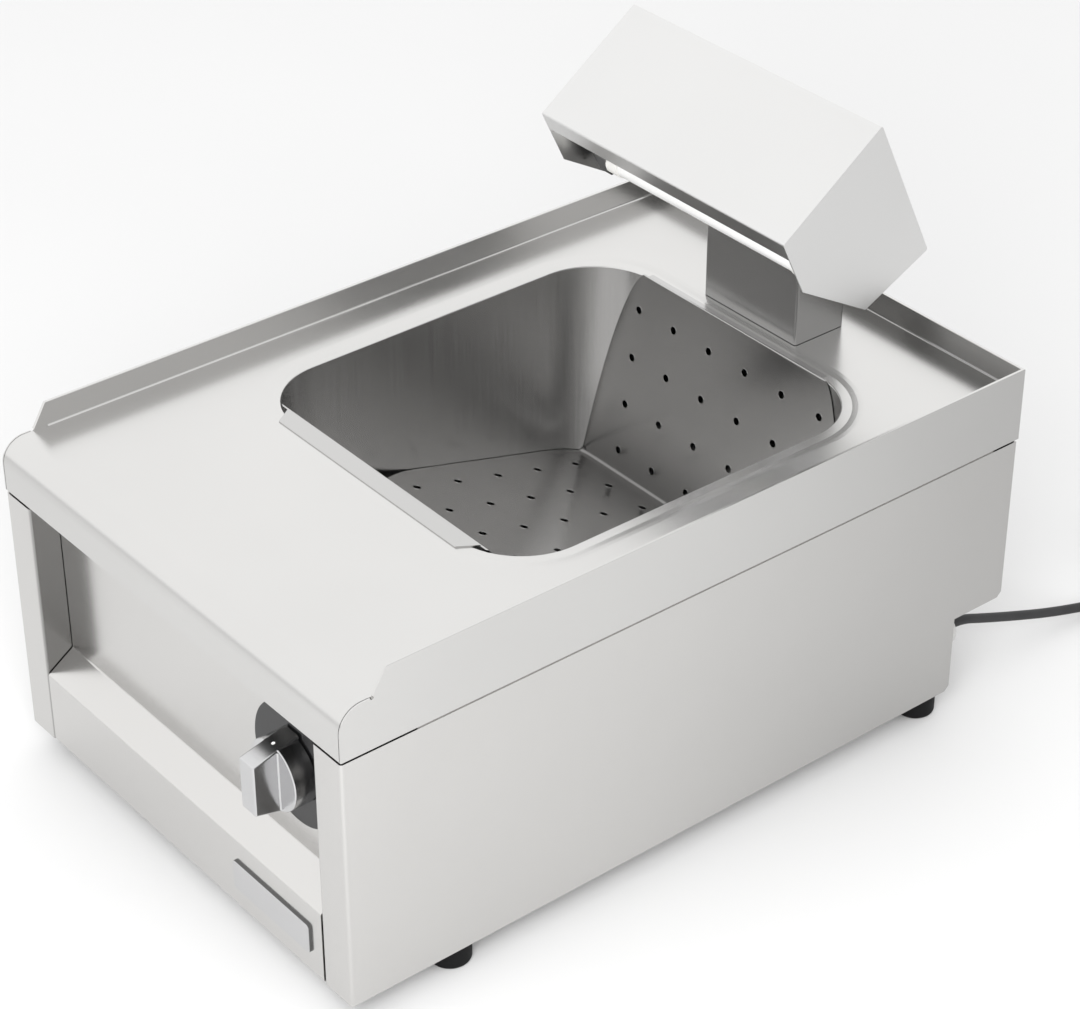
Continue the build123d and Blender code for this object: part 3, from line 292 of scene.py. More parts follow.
class Finish:
    """A procedural material that is built up step by step on Object coordinates."""

    def __init__(self, name, colour, metallic, roughness):
        self.material = bpy.data.materials.new(name)
        self.material.use_nodes = True
        self.tree = self.material.node_tree
        self.shader = self.tree.nodes["Principled BSDF"]
        self.colour = tuple(colour)
        self.roughness = roughness
        self.shader.inputs["Base Color"].default_value = (*self.colour, 1)
        self.shader.inputs["Metallic"].default_value = metallic
        self.shader.inputs["Roughness"].default_value = roughness

    def add(self, kind, **values):
        """A new node, with its plain settings."""
        node = self.tree.nodes.new(kind)
        for name, value in values.items():
            setattr(node, name, value)
        return node

    def link(self, start, end):
        """A wire between two sockets."""
        self.tree.links.new(start, end)

    def noise(self, scale, detail=2.0, stretch=(1, 1, 1)):
        """Noise on Object coordinates, stretched along an axis where its scale is small."""
        place = self.add("ShaderNodeTexCoord")
        turn = self.add("ShaderNodeMapping")
        turn.inputs["Scale"].default_value = stretch
        noise = self.add("ShaderNodeTexNoise")
        noise.inputs["Scale"].default_value = scale
        noise.inputs["Detail"].default_value = detail
        self.link(place.outputs["Object"], turn.inputs["Vector"])
        self.link(turn.outputs["Vector"], noise.inputs["Vector"])
        return noise.outputs["Fac"]

    def spread(self, value, low, high):
        """The value from 0 to 1 brought to the range from low to high."""
        node = self.add("ShaderNodeMapRange")
        node.inputs["To Min"].default_value = low
        node.inputs["To Max"].default_value = high
        self.link(value, node.inputs["Value"])
        return node.outputs["Result"]

    def vary_colour(self, value, darker, lighter):
        """Colour that runs between two shares of the finish's own colour."""
        mix = self.add("ShaderNodeMix", data_type="RGBA")
        mix.inputs["A"].default_value = (*[part * darker for part in self.colour], 1)
        mix.inputs["B"].default_value = (*[min(1, part * lighter) for part in self.colour], 1)
        self.link(value, mix.inputs["Factor"])
        self.link(mix.outputs["Result"], self.shader.inputs["Base Color"])
        return self

    def split(self, coordinates):
        """The three parts of the Object or Normal coordinates."""
        place = self.add("ShaderNodeTexCoord")
        parts = self.add("ShaderNodeSeparateXYZ")
        self.link(place.outputs[coordinates], parts.inputs["Vector"])
        return parts.outputs

    def times(self, first, second):
        """The product of two values."""
        product = self.add("ShaderNodeMath", operation="MULTIPLY")
        self.link(first, product.inputs[0])
        self.link(second, product.inputs[1])
        return product.outputs["Value"]

    def outward(self):
        """How far a face looks away from the middle: above 0 on outer sides, below 0 if it looks back."""
        share = self.add("ShaderNodeMath", operation="DIVIDE")
        share.inputs[1].default_value = HALF_WIDTH
        self.link(self.times(self.split("Object")["X"], self.split("Normal")["X"]), share.inputs[0])
        return share.outputs["Value"]

    def depth(self, start, end):
        """0 ahead of one depth and 1 behind another, with a soft change between them."""
        depth = self.add("ShaderNodeMapRange", interpolation_type="SMOOTHSTEP")
        depth.inputs["From Min"].default_value = start
        depth.inputs["From Max"].default_value = end
        self.link(self.split("Object")["Y"], depth.inputs["Value"])
        return depth.outputs["Result"]

    def paint_shade_rearwards(self, start, end, share):
        """Painted shade: outer side faces that lose some of their brightness from the front to the rear.
        """
        outer = self.spread(self.outward(), 0, 1)
        return self.scale_colour(self.spread(self.times(outer, self.depth(start, end)), 1, 1 - share))

    def paint_shade_inwards(self, share):
        """Painted shade: side faces that look back at the middle, into the folds, and lose some of their
        brightness.
        """
        left = self.add("ShaderNodeMapRange")
        left.inputs["From Min"].default_value = -1
        left.inputs["From Max"].default_value = 0
        left.inputs["To Min"].default_value = 1 - share
        self.link(self.outward(), left.inputs["Value"])
        return self.scale_colour(left.outputs["Result"])

    def paint_shade_rear_wall(self, start, end, share):
        """Painted shade: faces at the rear that look to the front and lose some of their brightness."""
        forward = self.add("ShaderNodeMath", operation="MULTIPLY", use_clamp=True)
        forward.inputs[1].default_value = -1
        self.link(self.split("Normal")["Y"], forward.inputs[0])
        rear = self.times(forward.outputs["Value"], self.depth(start, end))
        return self.scale_colour(self.spread(rear, 1, 1 - share))

    def paint_shade_near(self, place, reach, share):
        """Painted shade: colour that loses some of its brightness near a line along the X axis."""
        here = self.add("ShaderNodeTexCoord")
        away = self.add("ShaderNodeVectorMath", operation="SUBTRACT")
        away.inputs[1].default_value = place
        across = self.add("ShaderNodeVectorMath", operation="MULTIPLY")
        across.inputs[1].default_value = (0, 1, 1)
        distance = self.add("ShaderNodeVectorMath", operation="LENGTH")
        left = self.add("ShaderNodeMapRange", interpolation_type="SMOOTHSTEP")
        left.inputs["From Max"].default_value = reach
        left.inputs["To Min"].default_value = 1 - share
        self.link(here.outputs["Object"], away.inputs[0])
        self.link(away.outputs["Vector"], across.inputs[0])
        self.link(across.outputs["Vector"], distance.inputs[0])
        self.link(distance.outputs["Value"], left.inputs["Value"])
        return self.scale_colour(left.outputs["Result"])

    def scale_colour(self, share):
        """Base colour times a share that changes over the surface."""
        scaled = self.add("ShaderNodeVectorMath", operation="SCALE")
        base = self.shader.inputs["Base Color"]
        self.link(base.links[0].from_socket, scaled.inputs[0])
        self.link(share, scaled.inputs["Scale"])
        self.link(scaled.outputs["Vector"], base)
        return self

    def vary_roughness(self, value, change):
        """Roughness that runs a little below and above the finish's own."""
        low = max(SMOOTHEST, self.roughness - change)
        self.link(self.spread(value, low, self.roughness + change), self.shader.inputs["Roughness"])
        return self

    def bump(self, value, strength, distance):
        """Fine relief that only the light sees."""
        node = self.add("ShaderNodeBump")
        node.inputs["Strength"].default_value = strength
        node.inputs["Distance"].default_value = distance
        self.link(value, node.inputs["Height"])
        self.link(node.outputs["Normal"], self.shader.inputs["Normal"])
        return self


# Brush lines that run along an axis: the noise is stretched along it
GRAINS = {"x": (0.02, 1, 1), "y": (1, 0.02, 1), "z": (1, 1, 0.02)}
BRUSH_SCALE = 500

# Where painted shade darkens the steel: places along the Y axis in metres, and the share of brightness
# that is lost
OUTER_SIDE_SHADE = {"start": -0.1, "end": 0.36, "share": 0.26}
REAR_WALL_SHADE = {"start": 0.2, "end": 0.25, "share": 0.42}
INNER_FOLD_SHADE = {"share": 0.66}
TRAY_CREASE_SHADE = {"reach": mm(75), "share": 0.34}

# Painted shade on the badge plate's narrow sides: how squarely a face of the plate looks to the front,
# from its dark sides to its bright face
BADGE_SIDE = 0.5
BADGE_FACE = 0.9
BADGE_SIDE_SHADE_COLOUR = (0.16, 0.16, 0.16)

# Colour and roughness of the finishes that have no setting in the sidebar
FINISHES = {
    "badge_steel": ((0.58, 0.58, 0.585), 0.24),
    "knob_chrome": ((0.57, 0.57, 0.575), 0.2),
    "dot_paint": ((0.93, 0.93, 0.92), 0.3),
    "lamp_quartz": ((0.93, 0.93, 0.92), 0.42),
    "lamp_ceramic": ((0.86, 0.85, 0.82), 0.5),
    "holder_metal": ((0.16, 0.16, 0.16), 0.4),
    "reflector_aluminium": ((0.84, 0.84, 0.85), 0.18),
    "plug_rubber": ((0.045, 0.045, 0.047), 0.55),
    "pin_nickel": ((0.72, 0.71, 0.68), 0.22),
    "tie_plastic": ((0.03, 0.03, 0.03), 0.5),
    "foot_rubber": ((0.007, 0.007, 0.0075), 0.62),
    "gland_plastic": ((0.55, 0.55, 0.54), 0.45),
    "zinc_plate": ((0.60, 0.61, 0.63), 0.3),
    "drawn_copper": ((0.70, 0.43, 0.29), 0.3),
    "block_plastic": ((0.035, 0.035, 0.036), 0.48),
    "heater_silicone": ((0.55, 0.17, 0.08), 0.62),
    "lead_sleeve": ((0.72, 0.70, 0.64), 0.62),
}


def sheet_steel(
    name, colour, roughness, grain, brushing=0.01, depth=0.0, dulled=False, folded=False, crease=None
):
    """Stainless sheet with brush lines along one axis and faint clouds, with painted shade where asked.
    """
    finish = Finish(name, colour, metallic=1.0, roughness=roughness)
    lines = finish.noise(BRUSH_SCALE, detail=3, stretch=GRAINS[grain])
    clouds = finish.noise(scale=7, detail=3)
    finish.vary_colour(clouds, darker=0.97, lighter=1.03)
    finish.vary_roughness(lines, change=brushing)
    if dulled:
        # Painted shade: outer sides darker towards the rear
        finish.paint_shade_rearwards(**OUTER_SIDE_SHADE)
        # Painted shade: the rear wall's inner face darker
        finish.paint_shade_rear_wall(**REAR_WALL_SHADE)
    if folded:
        # Painted shade on faces that look back into the inner folds
        finish.paint_shade_inwards(**INNER_FOLD_SHADE)
    if crease:
        # Painted shade near the crease
        finish.paint_shade_near(crease, **TRAY_CREASE_SHADE)
    if depth:
        finish.bump(lines, strength=depth, distance=mm(0.05))
    return finish.material


def plate_with_shaded_edges(name, colour, roughness):
    """Brushed plate whose narrow sides are dark with painted shade."""
    finish = Finish(name, colour, metallic=1.0, roughness=roughness)
    way = finish.add("ShaderNodeNewGeometry")
    front = finish.add("ShaderNodeVectorMath", operation="DOT_PRODUCT")
    front.inputs[1].default_value = (0, -1, 0)
    flat = finish.add("ShaderNodeMapRange", interpolation_type="SMOOTHSTEP")
    flat.inputs["From Min"].default_value = BADGE_SIDE
    flat.inputs["From Max"].default_value = BADGE_FACE
    mix = finish.add("ShaderNodeMix", data_type="RGBA")
    mix.inputs["A"].default_value = (*BADGE_SIDE_SHADE_COLOUR, 1)
    mix.inputs["B"].default_value = (*colour, 1)
    finish.link(way.outputs["Normal"], front.inputs[0])
    finish.link(front.outputs["Value"], flat.inputs["Value"])
    finish.link(flat.outputs["Result"], mix.inputs["Factor"])
    finish.link(mix.outputs["Result"], finish.shader.inputs["Base Color"])
    lines = finish.noise(BRUSH_SCALE, detail=3, stretch=GRAINS["x"])
    finish.vary_roughness(lines, change=0.04)
    return finish.material


def cast_chrome(name, colour, roughness):
    """Bright chrome on a cast knob, slightly wavy."""
    finish = Finish(name, colour, metallic=1.0, roughness=roughness)
    waves = finish.noise(scale=60)
    finish.vary_colour(waves, darker=0.95, lighter=1.04)
    finish.vary_roughness(waves, change=0.03)
    finish.bump(waves, strength=0.05, distance=mm(0.2))
    return finish.material


def plated_metal(name, colour, roughness):
    """Zinc, nickel or copper with a faint mottle."""
    finish = Finish(name, colour, metallic=1.0, roughness=roughness)
    mottle = finish.noise(scale=160, detail=3)
    finish.vary_colour(mottle, darker=0.88, lighter=1.08)
    finish.vary_roughness(mottle, change=0.06)
    return finish.material


def moulded_plastic(name, colour, roughness):
    """Plastic, paint or ceramic with a fine moulded grain."""
    finish = Finish(name, colour, metallic=0.0, roughness=roughness)
    skin = finish.noise(scale=900)
    finish.vary_colour(finish.noise(scale=25), darker=0.92, lighter=1.06)
    finish.vary_roughness(skin, change=0.06)
    finish.bump(skin, strength=0.08, distance=mm(0.1))
    return finish.material


def soft_rubber(name, colour, roughness):
    """Matt rubber with dust and a fine grain."""
    finish = Finish(name, colour, metallic=0.0, roughness=roughness)
    finish.shader.inputs["Specular IOR Level"].default_value = 0.12
    dust = finish.noise(scale=70, detail=4)
    finish.vary_colour(dust, darker=0.8, lighter=1.35)
    finish.vary_roughness(dust, change=0.1)
    finish.bump(finish.noise(scale=1400), strength=0.12, distance=mm(0.12))
    return finish.material


def gloss_enamel(name, colour):
    """Deep dark enamel that mirrors softly."""
    finish = Finish(name, colour, metallic=0.0, roughness=0.2)
    finish.shader.inputs["IOR"].default_value = 1.43
    haze = finish.noise(scale=30)
    finish.vary_colour(haze, darker=0.8, lighter=1.2)
    finish.vary_roughness(haze, change=0.04)
    return finish.material


def frosted_quartz(name, colour, roughness):
    """White frosted tube of the infrared lamp."""
    finish = Finish(name, colour, metallic=0.0, roughness=roughness)
    finish.shader.inputs["Coat Weight"].default_value = 0.35
    finish.shader.inputs["Coat Roughness"].default_value = 0.2
    frost = finish.noise(scale=1200)
    finish.vary_colour(finish.noise(scale=40), darker=0.96, lighter=1.03)
    finish.bump(frost, strength=0.06, distance=mm(0.05))
    return finish.material


def stock(kind, name):
    """A finish of the given kind, with its values from the table."""
    return kind(name, *FINISHES[name])


def paint_nodes(material, *names):
    """Gives CAD nodes their finish."""
    for name in names:
        slots = NODES[name].data.materials
        slots.clear()
        slots.append(material)


def new_piece(name, mesh, body, material):
    """A finished piece at the origin that rides on a body."""
    piece = bpy.data.objects.new(name, mesh)
    bpy.context.scene.collection.objects.link(piece)
    mesh.materials.clear()
    mesh.materials.append(material)
    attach(piece, body)
    return piece


def ring_of_bars_tree(material):
    """Geometry Nodes: bars set round the Z axis, each as one turned box."""
    tree = bpy.data.node_groups.new("ring_of_bars", "GeometryNodeTree")
    for name, kind in (
        ("Count", "NodeSocketInt"),
        ("Step", "NodeSocketFloat"),
        ("Radius", "NodeSocketFloat"),
        ("Size", "NodeSocketVector"),
    ):
        tree.interface.new_socket(name, in_out="INPUT", socket_type=kind)
    tree.interface.new_socket("Geometry", in_out="OUTPUT", socket_type="NodeSocketGeometry")
    make = tree.nodes.new
    link = tree.links.new
    inputs = make("NodeGroupInput")
    outputs = make("NodeGroupOutput")
    points = make("GeometryNodePoints")
    index = make("GeometryNodeInputIndex")
    angle = make("ShaderNodeMath")
    angle.operation = "MULTIPLY"
    turn = make("ShaderNodeCombineXYZ")
    rotation = make("FunctionNodeEulerToRotation")
    reach = make("ShaderNodeCombineXYZ")
    place = make("ShaderNodeVectorRotate")
    place.rotation_type = "Z_AXIS"
    bar = make("GeometryNodeMeshCube")
    copies = make("GeometryNodeInstanceOnPoints")
    realize = make("GeometryNodeRealizeInstances")
    paint = make("GeometryNodeSetMaterial")
    paint.inputs["Material"].default_value = material
    link(inputs.outputs["Count"], points.inputs["Count"])
    link(index.outputs["Index"], angle.inputs[0])
    link(inputs.outputs["Step"], angle.inputs[1])
    link(angle.outputs["Value"], turn.inputs["Z"])
    link(turn.outputs["Vector"], rotation.inputs["Euler"])
    link(inputs.outputs["Radius"], reach.inputs["X"])
    link(reach.outputs["Vector"], place.inputs["Vector"])
    link(angle.outputs["Value"], place.inputs["Angle"])
    link(place.outputs["Vector"], points.inputs["Position"])
    link(inputs.outputs["Size"], bar.inputs["Size"])
    link(points.outputs["Points"], copies.inputs["Points"])
    link(bar.outputs["Mesh"], copies.inputs["Instance"])
    link(rotation.outputs["Rotation"], copies.inputs["Rotation"])
    link(copies.outputs["Instances"], realize.inputs["Geometry"])
    link(realize.outputs["Geometry"], paint.inputs["Geometry"])
    link(paint.outputs["Geometry"], outputs.inputs["Geometry"])
    return tree


# Steps round a hole and round the section of its edge
HOLE_STEPS = 20
EDGE_STEPS = 6


def grid_of_rings_tree(material):
    """Geometry Nodes: thin rings on a flat grid, one round each punched hole."""
    tree = bpy.data.node_groups.new("grid_of_rings", "GeometryNodeTree")
    for name, kind in (
        ("Columns", "NodeSocketInt"),
        ("Rows", "NodeSocketInt"),
        ("Pitch", "NodeSocketFloat"),
        ("Hole Radius", "NodeSocketFloat"),
        ("Edge Radius", "NodeSocketFloat"),
    ):
        tree.interface.new_socket(name, in_out="INPUT", socket_type=kind)
    tree.interface.new_socket("Geometry", in_out="OUTPUT", socket_type="NodeSocketGeometry")
    make = tree.nodes.new
    link = tree.links.new
    inputs = make("NodeGroupInput")
    outputs = make("NodeGroupOutput")
    grid = make("GeometryNodeMeshGrid")
    for count, side in (("Columns", "X"), ("Rows", "Y")):
        gaps = make("ShaderNodeMath")
        gaps.operation = "SUBTRACT"
        gaps.inputs[1].default_value = 1
        width = make("ShaderNodeMath")
        width.operation = "MULTIPLY"
        link(inputs.outputs[count], gaps.inputs[0])
        link(gaps.outputs["Value"], width.inputs[0])
        link(inputs.outputs["Pitch"], width.inputs[1])
        link(width.outputs["Value"], grid.inputs[f"Size {side}"])
        link(inputs.outputs[count], grid.inputs[f"Vertices {side}"])
    hole = make("GeometryNodeCurvePrimitiveCircle")
    hole.inputs["Resolution"].default_value = HOLE_STEPS
    edge = make("GeometryNodeCurvePrimitiveCircle")
    edge.inputs["Resolution"].default_value = EDGE_STEPS
    ring = make("GeometryNodeCurveToMesh")
    copies = make("GeometryNodeInstanceOnPoints")
    realize = make("GeometryNodeRealizeInstances")
    paint = make("GeometryNodeSetMaterial")
    paint.inputs["Material"].default_value = material
    link(inputs.outputs["Hole Radius"], hole.inputs["Radius"])
    link(inputs.outputs["Edge Radius"], edge.inputs["Radius"])
    link(hole.outputs["Curve"], ring.inputs["Curve"])
    link(edge.outputs["Curve"], ring.inputs["Profile Curve"])
    link(grid.outputs["Mesh"], copies.inputs["Points"])
    link(ring.outputs["Mesh"], copies.inputs["Instance"])
    link(copies.outputs["Instances"], realize.inputs["Geometry"])
    link(realize.outputs["Geometry"], paint.inputs["Geometry"])
    link(paint.outputs["Geometry"], outputs.inputs["Geometry"])
    return tree


def mesh_from_tree(tree, values, place):
    """Runs a tree once with the given inputs and puts the plain mesh in its place."""
    holder = bpy.data.objects.new("tree_holder", bpy.data.meshes.new("tree_holder"))
    bpy.context.scene.collection.objects.link(holder)
    modifier = holder.modifiers.new("tree", "NODES")
    modifier.node_group = tree
    for item in tree.interface.items_tree:
        if item.in_out == "INPUT":
            modifier[item.identifier] = values[item.name]
    bpy.context.view_layer.update()
    depsgraph = bpy.context.evaluated_depsgraph_get()
    mesh = bpy.data.meshes.new_from_object(holder.evaluated_get(depsgraph))
    bpy.data.objects.remove(holder)
    mesh.transform(place)
    return mesh


def facing(origin, across, out):
    """A frame at origin whose X runs across and whose Z points out."""
    out = Vector(out).normalized()
    across = Vector(across).normalized()
    up = out.cross(across)
    turn = Matrix((across, up, out)).transposed().to_4x4()
    return Matrix.Translation(origin) @ turn


# Width of a full-frame sensor in millimetres, and how far the camera sees in metres
SENSOR_WIDTH = 36
FAR_CLIP = 50


class FRIES_OT_camera(bpy.types.Operator):
    """Set the camera at the studio viewpoint"""

    bl_idname = "fries.camera"
    bl_label = "Camera"

    def execute(self, context):
        settings = context.scene.fries_station.camera
        data = bpy.data.cameras.new("studio_camera")
        data.lens = settings.lens
        data.sensor_fit = "HORIZONTAL"
        data.sensor_width = SENSOR_WIDTH
        data.shift_x = settings.shift_x
        data.shift_y = settings.shift_y
        data.clip_end = FAR_CLIP
        camera = bpy.data.objects.new("studio_camera", data)
        context.scene.collection.objects.link(camera)
        back = -Vector(settings.forward).normalized()
        right = Vector(settings.right)
        right = (right - right.dot(back) * back).normalized()
        up = back.cross(right)
        turn = Matrix((right, up, back)).transposed().to_4x4()
        camera.matrix_world = Matrix.Translation(settings.place) @ turn
        context.scene.camera = camera
        return {"FINISHED"}


# Shape of the cord from the gland to its coil: shares of the way back, aside and down
CORD_SHAPE = (
    (0.1453, 0.0053, 0.2077),
    (0.2831, 0.0263, 0.4984),
    (0.4320, 0.0921, 0.7726),
    (0.5810, 0.2632, 0.9263),
    (0.7114, 0.5395, 0.9782),
    (0.8305, 0.8289, 0.9979),
    (0.9311, 1.0, 1.0),
    (1.0, 1.0, 1.0),
)


def cord_route(settings):
    """The cord's points from the gland to the coil, in metres."""
    start = Vector((GLAND_MIDDLE.x, GLAND_HIGH.y, GLAND_MIDDLE.z))
    end = Vector(
        (
            settings.coil_x + settings.coil_radius,
            FRONT + settings.coil_y - settings.diameter,
            settings.diameter / 2 + settings.lift,
        )
    )
    way = end - start
    points = [start, start + Vector((0, 2 * settings.diameter, 0))]
    for back, aside, down in CORD_SHAPE:
        points.append(start + Vector((aside * way.x, back * way.y, down * way.z)))
    return points


# Points along half a turn of the coil, and how finely the cord's curve and section are drawn
POINTS_PER_HALF_TURN = 12
CORD_STEPS = 6
CORD_ROUNDNESS = 5
CORD_ROUGHNESS = 0.5


def coil_points(settings):
    """Control points of the coil: in on the table, half a turn up, and out on top."""
    pitch = settings.diameter + settings.turn_gap
    low = settings.diameter / 2 + settings.lift
    middle_y = FRONT + settings.coil_y
    inner = settings.coil_radius - settings.turns_in * pitch
    step = math.pi / POINTS_PER_HALF_TURN
    points = []
    here_x = settings.coil_x + settings.coil_radius
    for half in range(4 * settings.turns_in):
        away = half - 2 * settings.turns_in
        radius = inner + abs(away) * pitch / 2
        heading = 1 if half % 2 == 0 else -1
        centre_x = here_x - heading * radius
        wide = radius / math.cos(step / 2)
        for index in range(POINTS_PER_HALF_TURN):
            angle = (index + 0.5) * step
            level = low if away < 0 else low + pitch
            if away == 0:
                level = low + pitch * (1 - math.cos(angle)) / 2
            points.append(
                Vector(
                    (
                        centre_x + heading * wide * math.cos(angle),
                        middle_y + heading * wide * math.sin(angle),
                        level,
                    )
                )
            )
        here_x = centre_x - heading * radius
    points.append(Vector((here_x, middle_y + settings.tail, low + pitch)))
    return points


class FRIES_OT_power_cord(bpy.types.Operator):
    """Lay the power cord from the gland to its coil and plug"""

    bl_idname = "fries.power_cord"
    bl_label = "Power Cord"

    def execute(self, context):
        settings = context.scene.fries_station.cord
        points = cord_route(settings) + coil_points(settings)
        data = bpy.data.curves.new("flex", "CURVE")
        data.dimensions = "3D"
        data.bevel_depth = settings.diameter / 2
        data.bevel_resolution = CORD_ROUNDNESS
        data.resolution_u = CORD_STEPS
        data.use_fill_caps = True
        spline = data.splines.new("NURBS")
        spline.points.add(len(points) - 1)
        for point, place in zip(spline.points, points):
            point.co = (*place, 1)
        spline.order_u = 3
        spline.use_endpoint_u = True
        spline.use_smooth = True
        sheath = soft_rubber("cord_sheath", settings.colour, CORD_ROUGHNESS)
        data.materials.append(sheath)
        flex = bpy.data.objects.new("flex", data)
        context.scene.collection.objects.link(flex)
        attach(flex, "cabinet")
        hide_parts("power_cord", "cord_coil")
        paint_nodes(sheath, "mains_lead")
        paint_nodes(stock(soft_rubber, "plug_rubber"), "plug_body")
        paint_nodes(stock(plated_metal, "pin_nickel"), "plug_pins")
        paint_nodes(stock(moulded_plastic, "tie_plastic"), "coil_tie")
        return {"FINISHED"}


class FRIES_OT_cabinet(bpy.types.Operator):
    """Finish the worktop, the panels and the badge plate"""

    bl_idname = "fries.cabinet"
    bl_label = "Cabinet"

    def execute(self, context):
        steel = context.scene.fries_station.steel
        # The worktop and the side panels carry painted shade that grows towards the rear
        paint_nodes(
            sheet_steel("worktop_steel", steel.top_colour, roughness=0.23, grain="y", dulled=True),
            "worktop",
        )
        # The panels also carry painted shade on their inner folds
        paint_nodes(
            sheet_steel(
                "panel_steel", steel.panel_colour, roughness=0.26, grain="y", dulled=True, folded=True
            ),
            "side_panel_left",
            "side_panel_right",
            "rail_left",
            "rail_right",
            "base_plate",
        )
        paint_nodes(
            sheet_steel("front_steel", steel.panel_colour, roughness=0.2, grain="x"),
            "fascia",
            "rear_panel",
        )
        # The badge plate's dark narrow sides are painted shade
        paint_nodes(stock(plate_with_shaded_edges, "badge_steel"), "badge_plate")
        return {"FINISHED"}


# The tray: slope of its floor, lean of its rear wall, the crease between them and its punched holes
FLOOR_ANGLE = math.radians(15)
REAR_LEAN = math.radians(9)
CREASE = Vector((0, FRONT + mm(474.5), DECK - mm(165.9)))
HOLE_PITCH = mm(40)
HOLE_RADIUS = mm(3.25)
HOLE_EDGE = mm(0.22)
# Columns, rows and the distance of the first row from the crease
HOLE_GRIDS = {"floor": (7, 5, mm(24)), "rear": (6, 4, mm(19))}

# The rolled fold: its radius, how deep it lies in the sheet, half its length, and its rounded end
FOLD_RADIUS = mm(0.9)
FOLD_SINK = mm(0.4)
FOLD_HALF = mm(100.4)
FOLD_SIDES = 16
FOLD_END = ((0.0, 0.4), (0.2, 0.7), (0.6, 0.92), (1.0, 1.0))


def fold_mesh():
    """The rolled fold along the top of the tray's rear wall, with rounded ends."""
    middle = Vector((0, CREASE.y + (TRAY_TOP - CREASE.z) * math.tan(REAR_LEAN), TRAY_TOP))
    middle += Vector((0, FOLD_SINK, -FOLD_SINK)) * math.sqrt(0.5)
    rings = [(FOLD_RADIUS * along - FOLD_HALF, FOLD_RADIUS * size) for along, size in FOLD_END]
    rings += [(-x, radius) for x, radius in reversed(rings)]
    build = bmesh.new()
    loops = []
    for x, radius in rings:
        loop = []
        for step in range(FOLD_SIDES):
            angle = 2 * math.pi * step / FOLD_SIDES
            spot = middle + Vector((x, radius * math.cos(angle), radius * math.sin(angle)))
            loop.append(build.verts.new(spot))
        loops.append(loop)
    for low, high in zip(loops, loops[1:]):
        for step in range(FOLD_SIDES):
            after = (step + 1) % FOLD_SIDES
            build.faces.new((low[step], low[after], high[after], high[step]))
    build.faces.new(loops[0])
    build.faces.new(loops[-1])
    bmesh.ops.recalc_face_normals(build, faces=build.faces)
    for face in build.faces:
        face.smooth = len(face.verts) == 4
    mesh = bpy.data.meshes.new("tray_rear_fold")
    build.to_mesh(mesh)
    build.free()
    return mesh


class FRIES_OT_well(bpy.types.Operator):
    """Finish the well and the tray, roll its rear fold and round the edges of its holes"""

    bl_idname = "fries.well"
    bl_label = "Well and Tray"

    def execute(self, context):
        steel = context.scene.fries_station.steel
        well_steel = sheet_steel(
            "well_steel", steel.well_colour, roughness=0.25, grain="z", brushing=0.04, depth=0.01
        )
        paint_nodes(well_steel, "well")
        # The tray's steel carries painted shade near its crease
        tray_steel = sheet_steel(
            "tray_steel",
            steel.tray_colour,
            roughness=0.2,
            grain="y",
            brushing=0.03,
            depth=0.01,
            crease=CREASE,
        )
        paint_nodes(tray_steel, "perforated_tray")
        new_piece("tray_rear_fold", fold_mesh(), "tray", tray_steel)
        tree = grid_of_rings_tree(tray_steel)
        out_of = {
            "floor": Vector((0, math.sin(FLOOR_ANGLE), math.cos(FLOOR_ANGLE))),
            "rear": Vector((0, -math.cos(REAR_LEAN), math.sin(REAR_LEAN))),
        }
        along = {
            "floor": Vector((0, -math.cos(FLOOR_ANGLE), math.sin(FLOOR_ANGLE))),
            "rear": Vector((0, math.sin(REAR_LEAN), math.cos(REAR_LEAN))),
        }
        for wall, (columns, rows, margin) in HOLE_GRIDS.items():
            middle = CREASE + along[wall] * (margin + HOLE_PITCH * (rows - 1) / 2)
            values = {
                "Columns": columns,
                "Rows": rows,
                "Pitch": HOLE_PITCH,
                "Hole Radius": HOLE_RADIUS,
                "Edge Radius": HOLE_EDGE,
            }
            place = facing(middle, (1, 0, 0), out_of[wall])
            mesh = mesh_from_tree(tree, values, place)
            new_piece(f"tray_{wall}_hole_edges", mesh, "tray", tray_steel)
        return {"FINISHED"}


class FRIES_OT_hood(bpy.types.Operator):
    """Finish the pillar, the hood and the infrared lamp"""

    bl_idname = "fries.hood"
    bl_label = "Lamp Hood"

    def execute(self, context):
        steel = context.scene.fries_station.steel
        paint_nodes(
            sheet_steel("hood_steel", steel.hood_colour, roughness=0.3, grain="x"),
            "hood_shell",
        )
        paint_nodes(
            sheet_steel("hood_end_steel", steel.hood_colour, roughness=0.28, grain="y"),
            "hood_end_left",
            "hood_end_right",
        )
        # The pillar's steel is darkened as painted shade
        pillar_shaded_steel = sheet_steel(
            "pillar_shaded_steel", steel.pillar_shaded_colour, roughness=0.24, grain="z", brushing=0.03, depth=0.01
        )
        paint_nodes(pillar_shaded_steel, "pillar")
        paint_nodes(stock(plated_metal, "reflector_aluminium"), "reflector")
        paint_nodes(stock(frosted_quartz, "lamp_quartz"), "lamp_tube")
        paint_nodes(stock(moulded_plastic, "lamp_ceramic"), "lamp_caps")
        paint_nodes(stock(plated_metal, "holder_metal"), "lamp_holders")
        return {"FINISHED"}


class FRIES_OT_control(bpy.types.Operator):
    """Finish the knob, its dot and the plain dial plate"""

    bl_idname = "fries.control"
    bl_label = "Knob and Dial"

    def execute(self, context):
        paint_nodes(stock(cast_chrome, "knob_chrome"), "knob")
        paint_nodes(stock(moulded_plastic, "dot_paint"), "knob_dot")
        settings = context.scene.fries_station.dial
        paint_nodes(gloss_enamel("dial_enamel", settings.colour), "dial_plate")
        return {"FINISHED"}


# The gland cap's ribs: how many, how proud and wide, and their share of the cap's length
GLAND_RIBS = 28
RIB_PROUD = mm(0.35)
RIB_WIDTH = mm(1.4)
RIB_SHARE = 0.62


